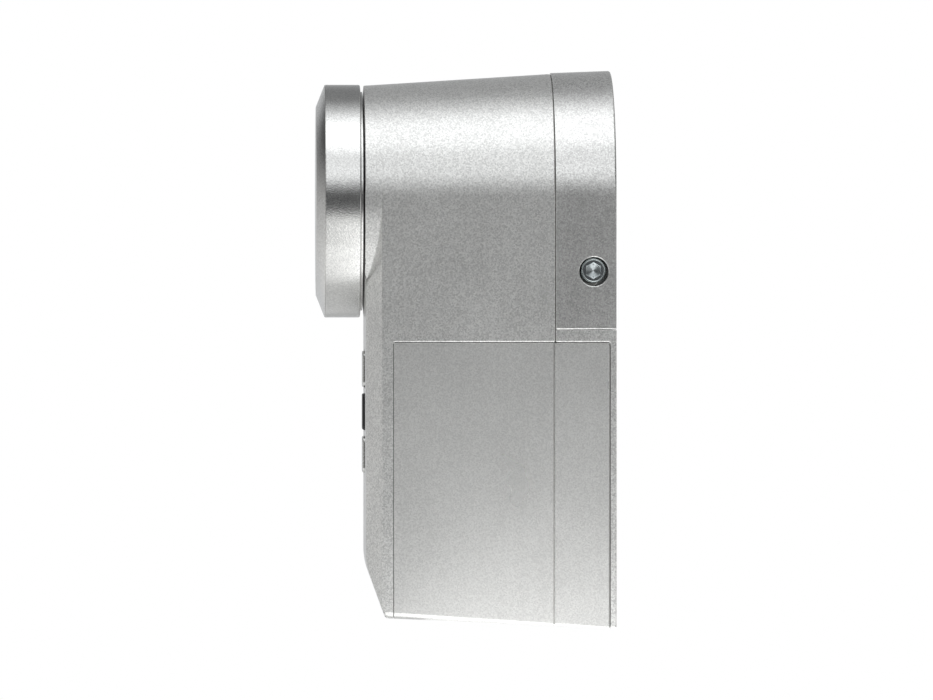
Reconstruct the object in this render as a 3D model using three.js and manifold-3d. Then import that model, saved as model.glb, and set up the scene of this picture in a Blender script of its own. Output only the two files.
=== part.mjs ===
// A motorised door-lock drive with a turning knob. Millimetres, +Z up.
// The knob points towards -Y, the door is the plane Y = 0, and the battery cover is on the +X side.
// The origin is where the axis of the lock cylinder, which is also the knob's axis, meets the door.
import * as THREE from 'three';
import { mergeVertices } from 'three/addons/utils/BufferGeometryUtils.js';
import Module from 'manifold-3d';

const wasm = await Module();
wasm.setup();

// ---------------------------------------------------------------- driving dimensions

const GAP = 0.3;                // clearance that neighbouring pieces keep
const BEYOND = 1;               // how far a cutting tool runs past the face it cuts
const REACH = 40;               // past the housing on every side of the axis
const FAR_BELOW = -120;         // past the housing's bottom

// Housing: a drafted neck round the axis, and a drafted body hanging below it
const REAR_RADIUS = 31.2;       // neck radius, and half the body's width, at the door
const NECK_RADIUS = 27.45;      // the same at the front edge of the neck
const NECK_FRONT = -58.6;
const BODY_FRONT = -58.3;
const REAR_BOTTOM = -100.3;
const FRONT_BOTTOM = -97.7;
const BOTTOM_FILLET = 1.2;
const WALL = 2;
const SEAM = -14.2;             // plane where the rear pieces meet the front shell
const CLAMP_BOTTOM = -30.45;    // underside of the rear clamp housing
const CLAMP_RADII = [31.05, 30.5];      // the clamp housing's own draft: at the door and at the seam
const CHAMFER_START = [20, -58.3];      // plan view: where the front face turns into the chamfer
const CHAMFER_END = [27.7, -54.65];     // plan view: where the chamfer meets the side
const SLANT_TOP = -83;          // the front face leans back below here
const SLANT_KNEE = [-57.5, -88];        // side view: end of the rounded start of the lean
const SLANT_FOOT = [-54.2, -97];        // side view: a point low on the straight lean

// Lock cylinder, a euro profile, and the clamp screw that grips its flank
const CYLINDER_RADIUS = 8.7;
const FLANK_HALF_WIDTH = 5.25;
const CYLINDER_BOTTOM = -25;
const SOCKET_WALL = 3.5;
const CLAMP_PLATE = 3.5;
const SCREW_PLACE = [-5.4, -16.65];     // Y and Z of the clamp screw's axis
const SCREW_RADIUS = 2.9;
const SCREW_HOLE_PLACE = [-5.3, -16.9]; // the screw sits a little high in its hole
const SCREW_HOLE_RADIUS = 3.4;
const SCREW_BOSS_RADIUS = 5.4;
const SCREW_EDGE = 0.4;
const SCREW_BOSS_SPAN = [7, 29.5];
const SCREW_SPAN = [5.9, 30.3];         // X of its tip and of its socket end
const HEX_ACROSS_FLATS = 3.2;
const HEX_DEPTH = 2;

// Knob
const KNOB_RADIUS = 27.65;
const KNOB_REAR = -59.45;
const KNOB_RIM_FRONT = -67.85;
const KNOB_FRONT = -69.92;
const KNOB_FACE_RADIUS = 22.4;
const COLLAR_RADIUS = 26;
const COLLAR_SPAN = [-60, -58.9];
const HUB_FLANGE_SPAN = [-62, -60.4];
const HUB_BOSS_FRONT = -65.6;
const HUB_BOSS_RADIUS = 9;
const SPINDLE_RADIUS = 4;
const SPINDLE_SPAN = [-64.5, -38.8];
const KNOB_BUSH_SPAN = [-58.2, -51.2];
const KNOB_BUSH_RADIUS = 7.5;
const BUSH_BOSS_RADIUS = 10;    // the front shell's ring round the bush
const BUSH_BOSS_DEPTH = 7.5;

// Push buttons on the front face
const BUTTON_SIZE = [11, 8.6];
const BUTTON_CORNER = 1.3;
const BUTTON_HEIGHTS = [-39.9, -50.05, -60.2];
const BUTTON_PROUD = 0.6;
const BUTTON_HOLE_GAP = 0.25;
const FLANGE_SIZE = [12.8, 9.6];
const FLANGE_SPAN = [-55.9, -55];
const BUTTON_REAR = -55.4;

// Battery cover and cells
const COVER_FRONT = -52.05;
const COVER_REAR = -1.4;
const COVER_TOP = -33.4;
const COVER_THICKNESS = 1.6;
const COVER_LIP = 18.85;        // X where the cover's turned-in bottom edge ends
const CELL_RADIUS = 7.1;
const CELL_LENGTH = 50.5;
const CELL_X = 17.7;
const CELL_YS = [-10.9, -25.8, -40.7];
const TRAY_LOW = [8.9, -49.6, -95.6];
const TRAY_HIGH = [24.5, -2, -36.5];
const TRAY_WALL = 1.4;
const CONTACT_THICKNESS = 0.5;
const CONTACT_REACH = 5;        // from a cell's axis to the edge of its contact plate
const SPRING_ROOM = 3.9;        // between a cell's flat end and its contact plate
const NUB_RADIUS = 2.7;
const NUB_HEIGHT = 1.3;
const PAD_YS = [-46, -6];
const PAD_ZS = [-80, -50];

// Rotor and gears: teeth and modules, output gear first
const ROTOR_RADIUS = 15.5;
const ROTOR_REAR = -15.2;
const ROTOR_FRONT = -38.5;
const ROTOR_BOSS_FRONT = -48;
const ROTOR_BOSS_RADIUS = 7;
const ROTOR_BUSH_SPAN = [-16.9, -14.75];
const ROTOR_BUSH_RADIUS = 17.3;
const MAGNET_SPAN = [-47.5, -45.5];
const MAGNET_RADIUS = 9.5;
const KEY_SLOT = [6, 26];       // width and height of the slot for the key's bow
const KEY_SLOT_FRONT = -36.2;
const OUTPUT_TEETH = 54;
const OUTPUT_MODULE = 0.8;
const B_PINION_TEETH = 12;
const B_WHEEL_TEETH = 32;
const MIDDLE_MODULE = 0.6;
const A_PINION_TEETH = 12;
const A_WHEEL_TEETH = 36;
const MOTOR_MODULE = 0.5;
const MOTOR_TEETH = 10;
const B_ANGLE = 250;            // degrees, direction from the knob's axis to gear B's
const A_ANGLE = 245;            // from B's axis to A's
const MOTOR_ANGLE = 262;        // from A's axis to the motor's
const AXLE_RADIUS = 1;
const OUTPUT_SPAN = [-21.6, -17.2];
const B_PINION_SPAN = [-22.2, -17];
const B_WHEEL_SPAN = [-25, -22.2];
const A_PINION_SPAN = [-25.5, -22];
const A_WHEEL_SPAN = [-28, -25.5];
const MOTOR_PINION_SPAN = [-28.2, -25.3];
const REAR_PLATE_SPAN = [-16.2, -15];
const FRONT_PLATE_SPAN = [-30.2, -29];
const PLATE_RADIUS = 26.2;
const MOTOR_RADIUS = 8;
const MOTOR_SPAN = [-50.2, -30.5];

// Circuit board
const BOARD_SPAN = [-51.9, -50.7];
const SWITCH_SIZE = 6;
const SWITCH_FRONT = -53.6;
const PLUNGER_SPAN = [-54.2, -53];
const PLUNGER_RADIUS = 1.6;

// Housing screws: X and Z of each axis, upper pair first
const HOUSING_SCREWS = [[21.8, 12.6], [-21.8, 12.6], [3.5, -95.3], [-22, -95.3]];
const HOUSING_SCREW_LENGTH = 24;
const HOUSING_SCREW_HEAD = [2.3, 1.5];  // radius and height
const HOUSING_SCREW_RADIUS = 1.15;
const HOUSING_SCREW_HEX = [1.5, 0.9];   // across flats and depth
const HOUSING_SCREW_REAR = -0.4;
const HOUSING_BOSS_RADIUS = 2.6;
const REAR_BOSS_RADIUS = 3.4;
const PILOT_RADIUS = 1.2;
const PILOT_DEPTH = 13;
const WELL_RADIUS = 2.7;
const WELL_DEPTH = 2.2;
const SHANK_HOLE_RADIUS = 1.55;
const UPPER_BOSS_FRONT = -32;
const LOWER_BOSS_FRONT = -45;

const FINE = 48;                // facets round the large turned pieces
const COARSE = 20;              // facets round the small ones
const CORNER = 4;               // facets on a quarter-round corner

// ---------------------------------------------------------------- materials

const finish = (color, roughness, metalness) => () =>
  new THREE.MeshStandardMaterial({ color, roughness, metalness });

const silverPaint = finish(0xb9bbbe, 0.42, 0.85);
const satinSilver = finish(0xc4c5c8, 0.34, 0.9);
const blackPlastic = finish(0x1b1c1e, 0.45, 0);
const greyPlastic = finish(0x54575b, 0.6, 0);
const whitePlastic = finish(0xe4e2da, 0.5, 0);
const zincSteel = finish(0xb4b7bc, 0.3, 1);
const darkSteel = finish(0x6c6f73, 0.4, 1);
const bronze = finish(0xa9763c, 0.4, 1);
const cellJacket = finish(0x2f5d46, 0.35, 0.1);
const boardGreen = finish(0x1d5a34, 0.5, 0);
const foamGrey = finish(0x3a3b3d, 0.95, 0);

// ---------------------------------------------------------------- solids

// A closed three.js geometry as a manifold solid, with its faces turned outwards.
function solid(geometry) {
  const bare = geometry.clone();
  bare.deleteAttribute('normal');
  bare.deleteAttribute('uv');
  const merged = mergeVertices(bare, 1e-4);
  const index = merged.index.array;
  const kept = [];
  for (let i = 0; i < index.length; i += 3) {
    const [a, b, c] = [index[i], index[i + 1], index[i + 2]];
    if (a !== b && b !== c && c !== a) kept.push(a, b, c);
  }
  if (signedVolume(merged.attributes.position, kept) < 0) kept.reverse();
  return new wasm.Manifold(new wasm.Mesh({
    numProp: 3,
    vertProperties: new Float32Array(merged.attributes.position.array),
    triVerts: new Uint32Array(kept),
  }));
}

function signedVolume(position, index) {
  const [a, b, c] = [new THREE.Vector3(), new THREE.Vector3(), new THREE.Vector3()];
  let sum = 0;
  for (let i = 0; i < index.length; i += 3) {
    a.fromBufferAttribute(position, index[i]);
    b.fromBufferAttribute(position, index[i + 1]);
    c.fromBufferAttribute(position, index[i + 2]);
    sum += a.dot(b.cross(c));
  }
  return sum;
}

function geometryOf(made) {
  const { vertProperties, triVerts } = made.getMesh();
  const geometry = new THREE.BufferGeometry();
  geometry.setAttribute('position', new THREE.BufferAttribute(vertProperties, 3));
  geometry.setIndex(new THREE.BufferAttribute(triVerts, 1));
  geometry.computeVertexNormals();
  return geometry;
}

function box(low, high) {
  const size = high.map((value, i) => value - low[i]);
  const middle = high.map((value, i) => (value + low[i]) / 2);
  return solid(new THREE.BoxGeometry(...size).translate(...middle));
}

// An outline in X and Z, drawn out from the rear to the front along Y.
function prismGeometry(outline, rear, front) {
  const options = { depth: rear - front, bevelEnabled: false };
  return new THREE.ExtrudeGeometry(outline, options).rotateX(Math.PI / 2).translate(0, rear, 0);
}

const prism = (outline, rear, front) => solid(prismGeometry(outline, rear, front));

// An outline in X and Y, drawn out upwards.
function planPrism(outline, bottom, top) {
  const options = { depth: top - bottom, bevelEnabled: false };
  return solid(new THREE.ExtrudeGeometry(outline, options).translate(0, 0, bottom));
}

// An outline in Y and Z, drawn out along X.
function sidePrism(outline, left, right) {
  const options = { depth: right - left, bevelEnabled: false };
  const turn = new THREE.Matrix4().makeBasis(
    new THREE.Vector3(0, 1, 0), new THREE.Vector3(0, 0, 1), new THREE.Vector3(1, 0, 0));
  return solid(new THREE.ExtrudeGeometry(outline, options).applyMatrix4(turn).translate(left, 0, 0));
}

// A profile of [radius, y] points turned about the Y axis. It starts and ends on the axis or closes.
const turned = (profile, segments = COARSE) =>
  solid(new THREE.LatheGeometry(profile.map(([r, y]) => new THREE.Vector2(r, y)), segments));

function ring(inner, outer, [front, rear], segments = COARSE) {
  const corners = [[inner, front], [outer, front], [outer, rear], [inner, rear], [inner, front]];
  return turned(corners, segments);
}

const rod = (radius, [front, rear], x = 0, z = 0, segments = COARSE) =>
  solid(new THREE.CylinderGeometry(radius, radius, rear - front, segments)
    .translate(x, (rear + front) / 2, z));

const sideRod = (radius, [left, right], y, z, segments = COARSE) =>
  solid(new THREE.CylinderGeometry(radius, radius, right - left, segments)
    .rotateZ(Math.PI / 2).translate((left + right) / 2, y, z));

// Points along an arc, both ends included; the angles are in quarter turns.
function arc(centreA, centreB, radius, fromQuarter, toQuarter, steps) {
  return Array.from({ length: steps + 1 }, (_, i) => {
    const angle = (fromQuarter + ((toQuarter - fromQuarter) * i) / steps) * (Math.PI / 2);
    return [centreA + radius * Math.cos(angle), centreB + radius * Math.sin(angle)];
  });
}

const polygon = (points) => new THREE.Shape(points.map(([a, b]) => new THREE.Vector2(a, b)));

function roundedRectangle([width, height], corner, centreZ = 0) {
  const [x, z] = [width / 2 - corner, height / 2 - corner];
  return polygon([
    ...arc(x, centreZ + z, corner, 0, 1, CORNER),
    ...arc(-x, centreZ + z, corner, 1, 2, CORNER),
    ...arc(-x, centreZ - z, corner, 2, 3, CORNER),
    ...arc(x, centreZ - z, corner, 3, 4, CORNER),
  ]);
}

function part(name, shape, material, place = [0, 0, 0]) {
  const mesh = new THREE.Mesh(geometryOf(shape), material());
  mesh.name = name;
  mesh.position.set(...place);
  return mesh;
}

// ---------------------------------------------------------------- the housing's outer form

const radiusAt = (y) => REAR_RADIUS + (NECK_RADIUS - REAR_RADIUS) * (y / NECK_FRONT);
const bottomAt = (y) => REAR_BOTTOM + (FRONT_BOTTOM - REAR_BOTTOM) * (y / BODY_FRONT);

// The housing's outline at the door plane: an arch, straight sides and a bottom with round corners.
function bodyOutline(inset) {
  const radius = REAR_RADIUS - inset;
  const bottom = REAR_BOTTOM + inset;
  const fillet = Math.max(BOTTOM_FILLET - inset, GAP);
  return polygon([
    ...arc(0, 0, radius, 0, 2, FINE / 2),
    ...arc(-radius + fillet, bottom + fillet, fillet, 2, 3, CORNER),
    ...arc(radius - fillet, bottom + fillet, fillet, 3, 4, CORNER),
  ]);
}

// The clamp housing's radius: it stands a little proud of the front shell at the seam.
const clampRadiusAt = (y) => CLAMP_RADII[0] + (CLAMP_RADII[1] - CLAMP_RADII[0]) * (y / SEAM);

// That outline drawn forward with the draft of the sides and of the bottom.
function draftedBody(inset, rear, front, radius = radiusAt) {
  const geometry = prismGeometry(bodyOutline(inset), rear, front);
  const position = geometry.attributes.position;
  for (let i = 0; i < position.count; i++) {
    const [x, y, z] = [position.getX(i), position.getY(i), position.getZ(i)];
    const across = (radius(y) - inset) / (REAR_RADIUS - inset);
    const down = (bottomAt(y) + inset) / (REAR_BOTTOM + inset);
    position.setXYZ(i, x * across, y, z * (z > 0 ? across : down));
  }
  return solid(geometry);
}

// The drafted neck as a full cone: it goes on round below the axis in front of the body.
function neckCone(inset, rear, front) {
  const profile = [[0, front], [radiusAt(front) - inset, front], [radiusAt(rear) - inset, rear], [0, rear]];
  return turned(profile, FINE);
}

// The wedges outside the chamfers of the two upright front edges.
function chamferWedges(inset) {
  const along = [CHAMFER_END[0] - CHAMFER_START[0], CHAMFER_END[1] - CHAMFER_START[1]];
  const length = Math.hypot(...along);
  const shift = [(-along[1] / length) * inset, (along[0] / length) * inset];
  const onLine = (t) => [
    CHAMFER_START[0] + along[0] * t + shift[0],
    CHAMFER_START[1] + along[1] * t + shift[1],
  ];
  const [near, far] = [onLine(-1), onLine(3)];
  const wedge = [near, far, [far[0], near[1] - 20], [near[0], near[1] - 20]];
  const mirrored = wedge.map(([x, y]) => [-x, y]);
  const low = REAR_BOTTOM - 10;
  return planPrism(polygon(wedge), low, 0).add(planPrism(polygon(mirrored), low, 0));
}

// The space in front of the leaning foot of the front face.
function slantWedge(inset) {
  const front = BODY_FRONT + inset;
  const lean = (SLANT_FOOT[0] - SLANT_KNEE[0]) / (SLANT_FOOT[1] - SLANT_KNEE[1]);
  const low = REAR_BOTTOM - 10;
  const bend = new THREE.QuadraticBezierCurve(
    new THREE.Vector2(front, SLANT_TOP),
    new THREE.Vector2(front, SLANT_TOP - 2.5),
    new THREE.Vector2(SLANT_KNEE[0] + inset, SLANT_KNEE[1]),
  );
  const outline = polygon([
    ...bend.getPoints(CORNER).map(({ x, y }) => [x, y]),
    [SLANT_KNEE[0] + inset + lean * (low - SLANT_KNEE[1]), low],
    [BODY_FRONT - 20, low],
    [BODY_FRONT - 20, SLANT_TOP],
  ]);
  return sidePrism(outline, -REAR_RADIUS - BEYOND, REAR_RADIUS + BEYOND);
}

// The whole housing's solid form, shrunk by an inset, from a rear plane forwards. Below the axis the
// body's front corners are cut away as far as the neck's cone.
function housingForm(inset, rear) {
  const front = NECK_FRONT + inset;
  const width = REAR_RADIUS + BEYOND;
  const face = box([-width, front - BEYOND, REAR_BOTTOM - 10], [width, BODY_FRONT + inset, 0]);
  const cutters = chamferWedges(inset).add(slantWedge(inset)).add(face);
  return draftedBody(inset, rear, front).subtract(cutters.subtract(neckCone(inset, -30, front - 2)));
}

// The block that the battery cover takes out of the housing, or fills less its clearance.
function coverBlock(clearance) {
  return box(
    [COVER_LIP - GAP / 2 + clearance, COVER_FRONT - GAP / 2 + clearance, REAR_BOTTOM - 10],
    [REAR_RADIUS + 10, COVER_REAR + GAP / 2 - clearance, COVER_TOP + GAP / 2 - clearance],
  );
}

// ---------------------------------------------------------------- housing pieces

function frontShell() {
  const rear = SEAM - GAP / 2;
  let shell = housingForm(0, rear).subtract(housingForm(WALL, rear + BEYOND));
  HOUSING_SCREWS.forEach(([x, z]) => {
    const front = z > 0 ? UPPER_BOSS_FRONT : LOWER_BOSS_FRONT;
    shell = shell.add(rod(HOUSING_BOSS_RADIUS, [front, rear - GAP], x, z, 16));
    shell = shell.subtract(rod(PILOT_RADIUS, [rear - PILOT_DEPTH, rear], x, z, 12));
  });
  const bossRear = NECK_FRONT + BUSH_BOSS_DEPTH;
  shell = shell.add(rod(BUSH_BOSS_RADIUS, [NECK_FRONT + WALL / 2, bossRear]));
  shell = shell.subtract(rod(KNOB_BUSH_RADIUS + GAP, [NECK_FRONT - BEYOND, bossRear + BEYOND]));
  BUTTON_HEIGHTS.forEach((z) => {
    const size = BUTTON_SIZE.map((value) => value + 2 * BUTTON_HOLE_GAP);
    const hole = roundedRectangle(size, BUTTON_CORNER + BUTTON_HOLE_GAP, z);
    shell = shell.subtract(prism(hole, BODY_FRONT + WALL + BEYOND, BODY_FRONT - BEYOND));
  });
  return part('front_shell', shell.subtract(coverBlock(0)), silverPaint);
}

// The outline of the lock cylinder's end: a round head above a narrower flank.
function cylinderOutline(offset) {
  const radius = CYLINDER_RADIUS + offset;
  const half = FLANK_HALF_WIDTH + offset;
  const foot = CYLINDER_BOTTOM + FLANK_HALF_WIDTH;
  const shoulder = Math.acos(half / radius) / (Math.PI / 2);
  return polygon([
    ...arc(0, 0, radius, -shoulder, 2 + shoulder, COARSE),
    ...arc(0, foot, half, 2, 4, 2 * CORNER),
  ]);
}

function clampHousing() {
  const front = SEAM + GAP / 2;
  const above = (low) => box([-REACH, -REACH, low], [REACH, BEYOND, REACH]);
  const form = draftedBody(0, 0, front, clampRadiusAt).intersect(above(CLAMP_BOTTOM));
  const hollow = draftedBody(WALL, -CLAMP_PLATE, front - BEYOND, clampRadiusAt)
    .intersect(above(CLAMP_BOTTOM + WALL));
  let housing = form.subtract(hollow);
  housing = housing.add(prism(cylinderOutline(SOCKET_WALL), -BEYOND, front));
  const screwBoss = sideRod(SCREW_BOSS_RADIUS, SCREW_BOSS_SPAN, ...SCREW_HOLE_PLACE);
  housing = housing.add(screwBoss.intersect(form));
  HOUSING_SCREWS.slice(0, 2).forEach(([x, z]) => {
    housing = housing.add(rod(REAR_BOSS_RADIUS, [front, -BEYOND], x, z, 16).intersect(form));
    housing = housing.subtract(screwWell(x, z, front));
  });
  housing = housing.subtract(prism(cylinderOutline(0), BEYOND, front - BEYOND));
  housing = housing.subtract(sideRod(SCREW_HOLE_RADIUS, [4, REACH], ...SCREW_HOLE_PLACE));
  return part('clamp_housing', housing, silverPaint);
}

// The stepped hole that takes a housing screw from the rear.
const screwWell = (x, z, front) =>
  rod(WELL_RADIUS, [-WELL_DEPTH, BEYOND], x, z, 16)
    .add(rod(SHANK_HOLE_RADIUS, [front - BEYOND, 0.2 - WELL_DEPTH], x, z, 12));

function rearFrame() {
  const front = SEAM + GAP / 2;
  const top = CLAMP_BOTTOM - GAP;
  const below = (high) => box([-REACH, -REACH, FAR_BELOW], [REACH, BEYOND, high]);
  const form = draftedBody(0, 0, front).intersect(below(top));
  const hollow = draftedBody(WALL, -1.7, front - BEYOND)
    .intersect(below(top - WALL));
  let frame = form.subtract(hollow).subtract(coverBlock(0));
  HOUSING_SCREWS.slice(2).forEach(([x, z]) => {
    frame = frame.add(rod(REAR_BOSS_RADIUS, [front, -BEYOND], x, z, 16).intersect(form));
    frame = frame.subtract(screwWell(x, z, front));
  });
  return part('rear_frame', frame, silverPaint);
}

function batteryCover() {
  const skin = draftedBody(0, 0, BODY_FRONT).subtract(draftedBody(COVER_THICKNESS, 1, BODY_FRONT - 1));
  return part('battery_cover', skin.intersect(coverBlock(GAP)), silverPaint);
}

// The foam that presses on the cells from inside the cover; its back follows the cover's draft.
function coverPad() {
  const [front, rear] = PAD_YS;
  const face = CELL_X + CELL_RADIUS + GAP;
  const back = (y) => radiusAt(y) - COVER_THICKNESS - GAP;
  const outline = polygon([[face, front], [back(front), front], [back(rear), rear], [face, rear]]);
  return part('cover_pad', planPrism(outline, ...PAD_ZS), foamGrey);
}

function housingScrew([x, z], index) {
  const length = HOUSING_SCREW_LENGTH;
  const [headRadius, headHeight] = HOUSING_SCREW_HEAD;
  const [acrossFlats, depth] = HOUSING_SCREW_HEX;
  const profile = [
    [0, 0], [headRadius, 0], [headRadius, -headHeight], [HOUSING_SCREW_RADIUS, -headHeight],
    [HOUSING_SCREW_RADIUS, 1 - length], [0, -length],
  ];
  const shape = turned(profile, 12).subtract(prism(polygon(hexagon(acrossFlats)), BEYOND, -depth));
  return part(`housing_screw_${index + 1}`, shape, darkSteel, [x, HOUSING_SCREW_REAR, z]);
}

function hexagon(acrossFlats) {
  const radius = acrossFlats / Math.sqrt(3);
  return Array.from({ length: 6 }, (_, i) => [
    radius * Math.sin((i * Math.PI) / 3),
    radius * Math.cos((i * Math.PI) / 3),
  ]);
}

// Turned about its own axis first and then laid along X, socket outwards.
function clampScrew() {
  const length = SCREW_SPAN[1] - SCREW_SPAN[0];
  const profile = [
    [0, 0], [SCREW_RADIUS - SCREW_EDGE, 0], [SCREW_RADIUS, -SCREW_EDGE], [SCREW_RADIUS, 1 - length],
    [SCREW_RADIUS - 1, -length], [0, -length],
  ];
  const socket = prism(polygon(hexagon(HEX_ACROSS_FLATS)), BEYOND, -HEX_DEPTH);
  const mesh = part('clamp_screw', turned(profile).subtract(socket), zincSteel);
  mesh.rotation.z = -Math.PI / 2;
  mesh.position.set(SCREW_SPAN[1], ...SCREW_PLACE);
  return mesh;
}

// ---------------------------------------------------------------- knob

function knobCap() {
  const profile = [
    [COLLAR_RADIUS + 0.35, KNOB_REAR], [KNOB_RADIUS, KNOB_REAR], [KNOB_RADIUS, KNOB_RIM_FRONT],
    [KNOB_FACE_RADIUS, KNOB_FRONT], [0, KNOB_FRONT], [0, KNOB_FRONT + 1.8], [22, KNOB_FRONT + 1.8],
    [COLLAR_RADIUS + 0.35, -66.6], [COLLAR_RADIUS + 0.35, KNOB_REAR],
  ];
  return part('knob_cap', turned(profile, FINE), satinSilver);
}

const knobCollar = () => part('knob_collar', ring(8.5, COLLAR_RADIUS, COLLAR_SPAN, FINE), satinSilver);

function knobHub() {
  const bore = SPINDLE_RADIUS + GAP;
  const [front, rear] = HUB_FLANGE_SPAN;
  const profile = [
    [bore, HUB_BOSS_FRONT], [HUB_BOSS_RADIUS, HUB_BOSS_FRONT], [HUB_BOSS_RADIUS, front],
    [COLLAR_RADIUS, front], [COLLAR_RADIUS, rear], [bore, rear], [bore, HUB_BOSS_FRONT],
  ];
  return part('knob_hub', turned(profile, FINE), blackPlastic);
}

function knobScrew() {
  const profile = [[0, -67.6], [3.6, -67.6], [3.6, -65.9], [1.4, -65.9], [1.4, -56], [0, -56]];
  return part('knob_screw', turned(profile, 12), darkSteel);
}

function knobSpindle() {
  const bore = rod(1.7, [-65, -54.5], 0, 0, 12);
  return part('knob_spindle', rod(SPINDLE_RADIUS, SPINDLE_SPAN).subtract(bore), darkSteel);
}

const knobBush = () => part('knob_bush', ring(SPINDLE_RADIUS + GAP, KNOB_BUSH_RADIUS, KNOB_BUSH_SPAN), bronze);

function keyRotor() {
  const bore = SPINDLE_RADIUS + GAP;
  const profile = [
    [0, ROTOR_FRONT + 0.5], [bore, ROTOR_FRONT + 0.5], [bore, ROTOR_BOSS_FRONT],
    [ROTOR_BOSS_RADIUS, ROTOR_BOSS_FRONT], [ROTOR_BOSS_RADIUS, ROTOR_FRONT],
    [ROTOR_RADIUS, ROTOR_FRONT], [ROTOR_RADIUS, ROTOR_REAR], [0, ROTOR_REAR],
  ];
  const [half, tall] = KEY_SLOT.map((value) => value / 2);
  const rear = ROTOR_REAR + BEYOND;
  let rotor = turned(profile, FINE).subtract(box([-half, KEY_SLOT_FRONT, -tall], [half, rear, tall]));
  [-1, 1].forEach((side) => {
    const xs = [side * (half + 2), side * 11.5].sort((a, b) => a - b);
    rotor = rotor.subtract(box([xs[0], KEY_SLOT_FRONT, -8], [xs[1], rear, 8]));
  });
  return part('key_rotor', rotor, greyPlastic);
}

function rotorBush() {
  return part('rotor_bush', ring(ROTOR_RADIUS + GAP, ROTOR_BUSH_RADIUS, ROTOR_BUSH_SPAN, FINE), bronze);
}

function encoderMagnet() {
  return part('encoder_magnet', ring(ROTOR_BOSS_RADIUS + GAP, MAGNET_RADIUS, MAGNET_SPAN), darkSteel);
}

// ---------------------------------------------------------------- gear train

// The direction of the next axis from the last one, both in X and Z.
function fromAxis([x, z], distance, degrees) {
  const angle = THREE.MathUtils.degToRad(degrees);
  return [x + distance * Math.cos(angle), z + distance * Math.sin(angle)];
}

const pitchRadius = (teeth, module) => (teeth * module) / 2;
const OUTPUT_AXIS = [0, 0];
const B_AXIS = fromAxis(OUTPUT_AXIS, pitchRadius(OUTPUT_TEETH + B_PINION_TEETH, OUTPUT_MODULE), B_ANGLE);
const A_AXIS = fromAxis(B_AXIS, pitchRadius(B_WHEEL_TEETH + A_PINION_TEETH, MIDDLE_MODULE), A_ANGLE);
const MOTOR_AXIS = fromAxis(A_AXIS, pitchRadius(A_WHEEL_TEETH + MOTOR_TEETH, MOTOR_MODULE), MOTOR_ANGLE);

// How far a follower is turned so that its gap meets the leader's tooth on the line of centres.
function meshPhase(degrees, leaderTeeth, leaderPhase, teeth) {
  const angle = THREE.MathUtils.degToRad(degrees);
  return angle + Math.PI + Math.PI / teeth - ((leaderPhase - angle) * leaderTeeth) / teeth;
}

const B_PHASE = meshPhase(B_ANGLE, OUTPUT_TEETH, 0, B_PINION_TEETH);
const A_PHASE = meshPhase(A_ANGLE, B_WHEEL_TEETH, B_PHASE, A_PINION_TEETH);
const MOTOR_PHASE = meshPhase(MOTOR_ANGLE, A_WHEEL_TEETH, A_PHASE, MOTOR_TEETH);

// A spur gear's outline: straight-flanked teeth, thin enough to run with backlash.
function gearOutline(teeth, module, phase) {
  const pitch = pitchRadius(teeth, module);
  const root = pitch - 1.15 * module;
  const tip = pitch + 0.8 * module;
  const step = (2 * Math.PI) / teeth;
  const corners = [[root, -0.29], [tip, -0.1], [tip, 0.1], [root, 0.29]];
  const points = [];
  for (let tooth = 0; tooth < teeth; tooth++) {
    corners.forEach(([radius, share]) => {
      const angle = phase + (tooth + share) * step;
      points.push([radius * Math.cos(angle), radius * Math.sin(angle)]);
    });
  }
  return polygon(points);
}

function gear(teeth, module, phase, bore, [front, rear]) {
  const blank = prism(gearOutline(teeth, module, phase), rear, front);
  const facets = bore > 10 ? FINE : 12;
  return blank.subtract(rod(bore, [front - BEYOND, rear + BEYOND], 0, 0, facets));
}

function outputGear() {
  const shape = gear(OUTPUT_TEETH, OUTPUT_MODULE, 0, ROTOR_RADIUS + GAP, OUTPUT_SPAN);
  return part('output_gear', shape, whitePlastic);
}

function gearB() {
  const bore = AXLE_RADIUS + GAP;
  const pinion = gear(B_PINION_TEETH, OUTPUT_MODULE, B_PHASE, bore, B_PINION_SPAN);
  const wheel = gear(B_WHEEL_TEETH, MIDDLE_MODULE, B_PHASE, bore, B_WHEEL_SPAN);
  return part('gear_b', pinion.add(wheel), whitePlastic, [B_AXIS[0], 0, B_AXIS[1]]);
}

function gearA() {
  const bore = AXLE_RADIUS + GAP;
  const pinion = gear(A_PINION_TEETH, MIDDLE_MODULE, A_PHASE, bore, A_PINION_SPAN);
  const wheel = gear(A_WHEEL_TEETH, MOTOR_MODULE, A_PHASE, bore, A_WHEEL_SPAN);
  return part('gear_a', pinion.add(wheel), whitePlastic, [A_AXIS[0], 0, A_AXIS[1]]);
}

const SHAFT_RADIUS = 0.75;
const MOTOR_NECK_RADIUS = 3;    // the raised ring on each end of the motor

function motorPieces() {
  const bore = SHAFT_RADIUS + GAP;
  const place = [MOTOR_AXIS[0], 0, MOTOR_AXIS[1]];
  const pinion = gear(MOTOR_TEETH, MOTOR_MODULE, MOTOR_PHASE, bore, MOTOR_PINION_SPAN);
  const shaft = rod(SHAFT_RADIUS, [MOTOR_SPAN[0] + 8, MOTOR_PINION_SPAN[1] + 0.4], 0, 0, 12);
  const [front, rear] = MOTOR_SPAN;
  const can = turned([
    [0, front], [MOTOR_NECK_RADIUS, front], [MOTOR_NECK_RADIUS, front + 1], [MOTOR_RADIUS, front + 1],
    [MOTOR_RADIUS, rear], [MOTOR_NECK_RADIUS, rear], [MOTOR_NECK_RADIUS, rear + 1], [bore, rear + 1],
    [bore, front + 7], [0, front + 7],
  ]);
  return {
    fixed: [part('motor', can, zincSteel, place)],
    turning: [part('motor_pinion', pinion, bronze, place), part('motor_shaft', shaft, darkSteel, place)],
  };
}

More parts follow.
